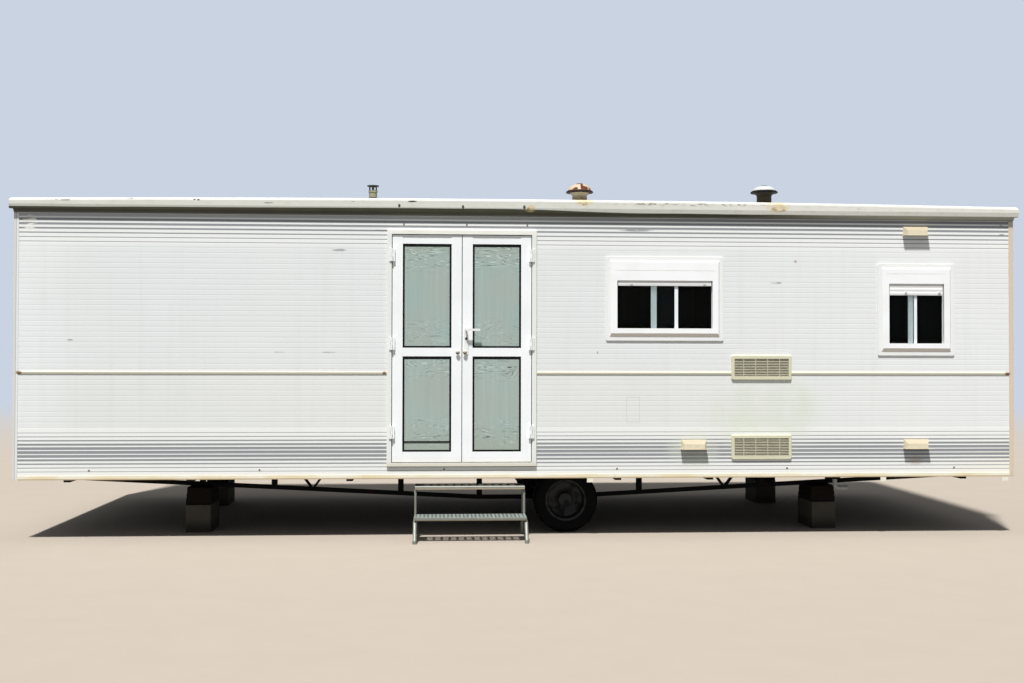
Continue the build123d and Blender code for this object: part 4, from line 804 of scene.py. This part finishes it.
# The top of each pull is painted pale as a painted highlight; below it the brass is dull with tarnish.
tarnish_under_highlight = brass.ramp(brass.z, pull_z + 0.007, pull_z - 0.009)
brass.paint(brass.mix(tarnish_under_highlight, shade(226, 220, 204), shade(128, 112, 92)))
brass.relief(brass.clouds(200.0, 3.0), 0.0003)
pull_profile = (
    (0.0, -0.001),
    (0.015, -0.001),
    (0.015, 0.003),
    (0.007, 0.006),
    (0.007, 0.012),
    (0.016, 0.017),
    (0.017, 0.021),
    (0.012, 0.026),
    (0.0, 0.028),
)
for side, x in (("left", -0.545), ("right", -0.487)):
    pull = bmesh.new()
    turned(pull, (x, leaf_face, pull_z), to_front, pull_profile, 24)
    piece("door_pull_" + side, pull, brass, "door_" + side)

# Windows: a broad flange, a tapered casing with the shutter box in its head, sliding sashes.
# White vinyl; the panes are clear glass before a dark room, and the slats hang part way down.
# The flange is screwed over the cladding, and the sashes slide in two tracks.

vinyl_white = Coat("window_vinyl", roughness=0.35, specular=0.45)
vinyl_age = vinyl_white.ramp(vinyl_white.clouds(6.0, 4.0), 0.4, 0.75)
casing_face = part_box("window_frames")[0].y
flange_share = vinyl_white.ramp(vinyl_white.y, casing_face + 0.006, casing_face + 0.013)
white_vinyl = vinyl_white.mix(flange_share, shade(249, 249, 248), shade(236, 236, 233))
white_vinyl = vinyl_white.mix(vinyl_age, white_vinyl, shade(238, 238, 232), 0.4)
# Faces that look down are painted lighter and warmer: painted light from the ground.
white_vinyl = vinyl_white.mix(vinyl_white.tilt(-0.1, -0.6), white_vinyl, shade(255, 240, 222))
vinyl_white.paint(white_vinyl)
vinyl_white.relief(vinyl_white.clouds(70.0, 2.0), 0.0003)
dress(vinyl_white, "window_frames")

sash_white = Coat("sash_vinyl", roughness=0.35, specular=0.45)
sash_white.two_tone(8.0, 3.0, shade(246, 248, 248), shade(232, 238, 240))
sash_white.relief(sash_white.clouds(70.0, 2.0), 0.0002)
dress(sash_white, "window_sashes")

clear_glass = Coat("window_glass", roughness=0.03, specular=0.1)
clear_glass.shader.inputs["Transmission Weight"].default_value = 1.0
clear_glass.shader.inputs["IOR"].default_value = 1.12
clear_glass.two_tone(2.0, 3.0, shade(238, 244, 242), shade(226, 236, 234))
dress(clear_glass, "window_glass")

slats = Coat("shutter_slats", roughness=0.4, specular=0.45)
slats.two_tone(12.0, 4.0, shade(246, 245, 244), shade(234, 232, 228))
slats.relief(slats.clouds(60.0, 2.0), 0.0003)
dress(slats, "roller_shutters")

stopper_grey = Coat("stopper_grey", roughness=0.5)
stopper_grey.two_tone(150.0, 2.0, shade(186, 186, 184), shade(214, 213, 209))
stopper_profile = (
    (0.0, -0.004),
    (0.011, -0.004),
    (0.011, 0.003),
    (0.009, 0.007),
    (0.004, 0.008),
    (0.0, 0.008),
)
shutter_low, shutter_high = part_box("roller_shutters")
stoppers = bmesh.new()
for x, z in ((0.848, 2.024), (1.441, 2.024), (3.098, 1.966), (3.377, 1.966)):
    turned(stoppers, (x, shutter_low.y, z), to_front, stopper_profile)
    turned(stoppers, (-x, shutter_high.y, z), to_rear, stopper_profile)
piece("shutter_stoppers", stoppers, stopper_grey)

# Louvred vents and cowls: two louvres with a dark insect mesh behind them, and three hooded outlets.
# Cream moulded plastic, with painted shade deep between the blades and on the cowls' tops and
# undersides.
# All are screwed to the wall; the louvres stand over openings cut through the cladding.

louvre_cream = Coat("louvre_cream", roughness=0.5, specular=0.35)
louvre_low, louvre_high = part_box("louvre_vents")
louvre_middle = (louvre_low.x + louvre_high.x) / 2
louvre_heights = (1.355, 0.714)
open_half_width = 0.2225
open_half_height = 0.0715
sideways = louvre_cream.off(louvre_cream.x, louvre_middle)
inside = louvre_cream.ramp(sideways, open_half_width, open_half_width - 0.001)
within = 0.0
for height in louvre_heights:
    upward = louvre_cream.off(louvre_cream.z, height)
    row = louvre_cream.ramp(upward, open_half_height, open_half_height - 0.001)
    within = louvre_cream.maths("ADD", within, row)
inside = louvre_cream.times(inside, within)
frame_tint = louvre_cream.mix(louvre_cream.clouds(12.0, 4.0), shade(219, 216, 188), shade(211, 205, 176))
blade_tint = louvre_cream.mix(louvre_cream.clouds(14.0, 4.0), shade(206, 200, 174), shade(184, 178, 150))
# Deep inside the louvres the blades are painted nearly black: painted shade in the recess.
deep = louvre_cream.ramp(louvre_cream.y, louvre_low.y + 0.002, louvre_low.y + 0.008)
blade_tint = louvre_cream.mix(deep, blade_tint, shade(34, 30, 20))
louvre_cream.paint(louvre_cream.mix(inside, frame_tint, blade_tint))
louvre_cream.relief(louvre_cream.clouds(120.0, 2.0), 0.0003)
dress(louvre_cream, "louvre_vents")

cowl_cream = Coat("cowl_cream", roughness=0.5, specular=0.35)
cowl_stain = cowl_cream.ramp(cowl_cream.clouds(18.0, 4.0), 0.4, 0.8)
cowl_paint = cowl_cream.mix(cowl_stain, shade(229, 217, 188), shade(219, 205, 174))
# Faces that look up are painted darker and faces that look down dark brown: painted shade, toning down
# the tops and darkening under the hoods.
cowl_paint = cowl_cream.mix(cowl_cream.tilt(0.15, 0.6), cowl_paint, shade(184, 172, 146))
cowl_cream.paint(cowl_cream.mix(cowl_cream.tilt(-0.3, -0.8), cowl_paint, shade(120, 98, 74)))
cowl_cream.relief(cowl_cream.clouds(120.0, 2.0), 0.0003)
dress(cowl_cream, "vent_cowls")

mesh_dark = Coat("louvre_mesh", roughness=0.8, specular=0.2)
mesh_cell = 0.003
weave_x = mesh_dark.from_nearest(mesh_dark.x, mesh_cell)
weave_z = mesh_dark.from_nearest(mesh_dark.z, mesh_cell)
wire = mesh_dark.ramp(mesh_dark.maths("MINIMUM", weave_x, weave_z), 0.2, 0.1)
mesh_dark.paint(mesh_dark.mix(wire, shade(22, 20, 17), shade(66, 60, 50)))
mesh_dark.relief(wire, 0.0005)
mesh_back = 0.012
mesh_size = (2 * open_half_width, 0.002, 2 * open_half_height)
for word, height in zip(("upper", "lower"), louvre_heights):
    screen = softened_block(mesh_size, (louvre_middle, wall_face + mesh_back, height), 0.0004, 2)
    piece("insect_mesh_" + word, screen, mesh_dark)

# Entry steps: two hoops of bent tube with two folded and slotted treads across them.
# Hot-dip galvanised steel, dull grey-green with spangle, with a painted highlight along the upper front
# edge.
# The treads are welded to the hoops; the steps just stand in front of the door.

galvanised = Coat("galvanised_steel", roughness=0.5, metallic=0.25)
spangle = galvanised.clouds(45.0, 5.0, twist=1.2)
zinc_tint = galvanised.mix(spangle, shade(128, 130, 120), shade(160, 160, 148))
dulled = galvanised.ramp(galvanised.clouds(6.0, 4.0), 0.5, 0.8)
zinc_wear_and_highlight = galvanised.mix(dulled, zinc_tint, shade(104, 100, 86), 0.6)
lip_depth = 0.021
teeth_pitch = 0.031
tread_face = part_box("step_treads")[0].y
teeth = galvanised.from_nearest(galvanised.x, teeth_pitch)
teeth = galvanised.ramp(teeth, 0.24, 0.14)
behind_lip = galvanised.ramp(galvanised.y, tread_face + 0.006, tread_face + 0.012)
teeth = galvanised.times(teeth, behind_lip)
# The upper tread's front edge is painted bright as a painted highlight, and dark bars across the lower
# tread's top are painted shade of its slots.
for tread_top, toothed, lip_tint, hem_tint in (
    (0.190, 0.75, shade(152, 159, 152), shade(122, 112, 88)),
    (0.408, 0.0, shade(226, 227, 216), shade(182, 162, 134)),
):
    from_top = galvanised.off(galvanised.z, tread_top)
    lip_tint = galvanised.mix(galvanised.times(teeth, toothed), lip_tint, shade(78, 84, 78))
    zinc_wear_and_highlight = galvanised.mix(galvanised.ramp(from_top, 0.004, 0.003), zinc_wear_and_highlight, lip_tint)
    from_hem = galvanised.off(galvanised.z, tread_top - lip_depth)
    zinc_wear_and_highlight = galvanised.mix(galvanised.ramp(from_hem, 0.007, 0.005, 0.0, 0.8), zinc_wear_and_highlight, hem_tint)
galvanised.paint(zinc_wear_and_highlight)
galvanised.shine(galvanised.ramp(spangle, 0.3, 0.7, 0.4, 0.6))
galvanised.relief(galvanised.clouds(180.0, 2.0), 0.0004)
dress(galvanised, "step_sides", "step_treads")

# Waste pipe: a drain from the bathroom that turns level under the floor.
# White vinyl pipe with a glued elbow, dusty on top.
# It hangs from the floor joists behind the front wall.

drain_white = Coat("drain_white", roughness=0.45)
drain_white.two_tone(14.0, 4.0, shade(206, 204, 198), shade(170, 164, 154))
drain_white.relief(drain_white.clouds(90.0, 2.0), 0.0003)
dress(drain_white, "waste_pipe")

# Stage: a pale floor that fades into a pale sky, a high key light from the front left.
# The camera sees the floor and the sky pale; they light the home more dimly, so shade stays deep.

stage_rim = 60.0
fade_start = 7.0
fade_end = 34.0
floor_mesh = bmesh.new()
bmesh.ops.create_circle(floor_mesh, cap_ends=True, segments=64, radius=stage_rim)
ground = bpy.data.meshes.new("stage_floor")
floor_mesh.to_mesh(ground)
floor_mesh.free()
backdrop_tint = shade(201, 211, 226)
floor_paint = Coat("stage_floor", roughness=0.9, specular=0.1)
rays = floor_paint.nodes.new("ShaderNodeLightPath")
seen = floor_paint.maths("MAXIMUM", rays.outputs["Is Camera Ray"], rays.outputs["Is Transmission Ray"])
pale = floor_paint.mix(floor_paint.clouds(3.0, 5.0), shade(167, 156, 143), shade(172, 161, 148))
floor_paint.paint(floor_paint.mix(seen, shade(126, 124, 119), pale))
span = floor_paint.times(floor_paint.x, floor_paint.x)
span = floor_paint.maths("ADD", span, floor_paint.times(floor_paint.y, floor_paint.y))
fading = floor_paint.ramp(floor_paint.maths("SQRT", span), fade_start, fade_end)
glow = floor_paint.nodes.new("ShaderNodeEmission")
glow.inputs["Color"].default_value = backdrop_tint
blend = floor_paint.nodes.new("ShaderNodeMixShader")
floor_paint.feed(blend.inputs[0], floor_paint.times(fading, seen))
floor_paint.links.new(floor_paint.shader.outputs[0], blend.inputs[1])
floor_paint.links.new(glow.outputs[0], blend.inputs[2])
floor_paint.links.new(blend.outputs[0], floor_paint.nodes["Material Output"].inputs["Surface"])
ground.materials.append(floor_paint.material)
floor = bpy.data.objects.new("stage_floor", ground)
bpy.context.scene.collection.objects.link(floor)

key = bpy.data.lights.new("key", "SUN")
key.energy = 5.25
key.angle = math.radians(4.0)
key_light = bpy.data.objects.new("key", key)
key_light.rotation_euler = Vector((0.12, 0.40, -0.908)).to_track_quat("-Z", "Y").to_euler()
bpy.context.scene.collection.objects.link(key_light)

world = bpy.data.worlds.new("pale_sky")
bpy.context.scene.world = world
world.use_nodes = True
sky_nodes = world.node_tree.nodes
sky_links = world.node_tree.links
sky = sky_nodes["Background"]
sky.inputs["Strength"].default_value = 1.0
path = sky_nodes.new("ShaderNodeLightPath")
clear = sky_nodes.new("ShaderNodeMath")
clear.operation = "MAXIMUM"
sky_links.new(path.outputs["Is Camera Ray"], clear.inputs[0])
sky_links.new(path.outputs["Is Transmission Ray"], clear.inputs[1])
backdrop = sky_nodes.new("ShaderNodeMix")
backdrop.data_type = "RGBA"
backdrop.inputs[6].default_value = (0.30, 0.32, 0.35, 1.0)
backdrop.inputs[7].default_value = backdrop_tint
sky_links.new(clear.outputs[0], backdrop.inputs[0])
sky_links.new(backdrop.outputs[2], sky.inputs["Color"])

# Camera: at eye height, 9.5 m in front of the long wall and turned a little to the right.
# Its place, its tilt and its lens are solved from the corners of the home in the photograph.

eye = Vector((-0.699, -10.917, 1.412))
yaw = math.radians(3.514)
pitch = math.radians(0.889)
roll = math.radians(-0.108)
forward = Vector((math.sin(yaw) * math.cos(pitch), math.cos(yaw) * math.cos(pitch), math.sin(pitch)))
level = Vector((math.cos(yaw), -math.sin(yaw), 0.0))
plumb = forward.cross(level)
right = level * math.cos(roll) + plumb * math.sin(roll)
up = level * math.sin(roll) - plumb * math.cos(roll)
lens = bpy.data.cameras.new("camera")
lens.sensor_width = 36.0
lens.lens = 42.1875
camera = bpy.data.objects.new("camera", lens)
camera.matrix_world = Matrix.Translation(eye) @ Matrix((right, up, -forward)).transposed().to_4x4()
bpy.context.scene.collection.objects.link(camera)
bpy.context.scene.camera = camera
bpy.context.scene.view_settings.view_transform = "Standard"
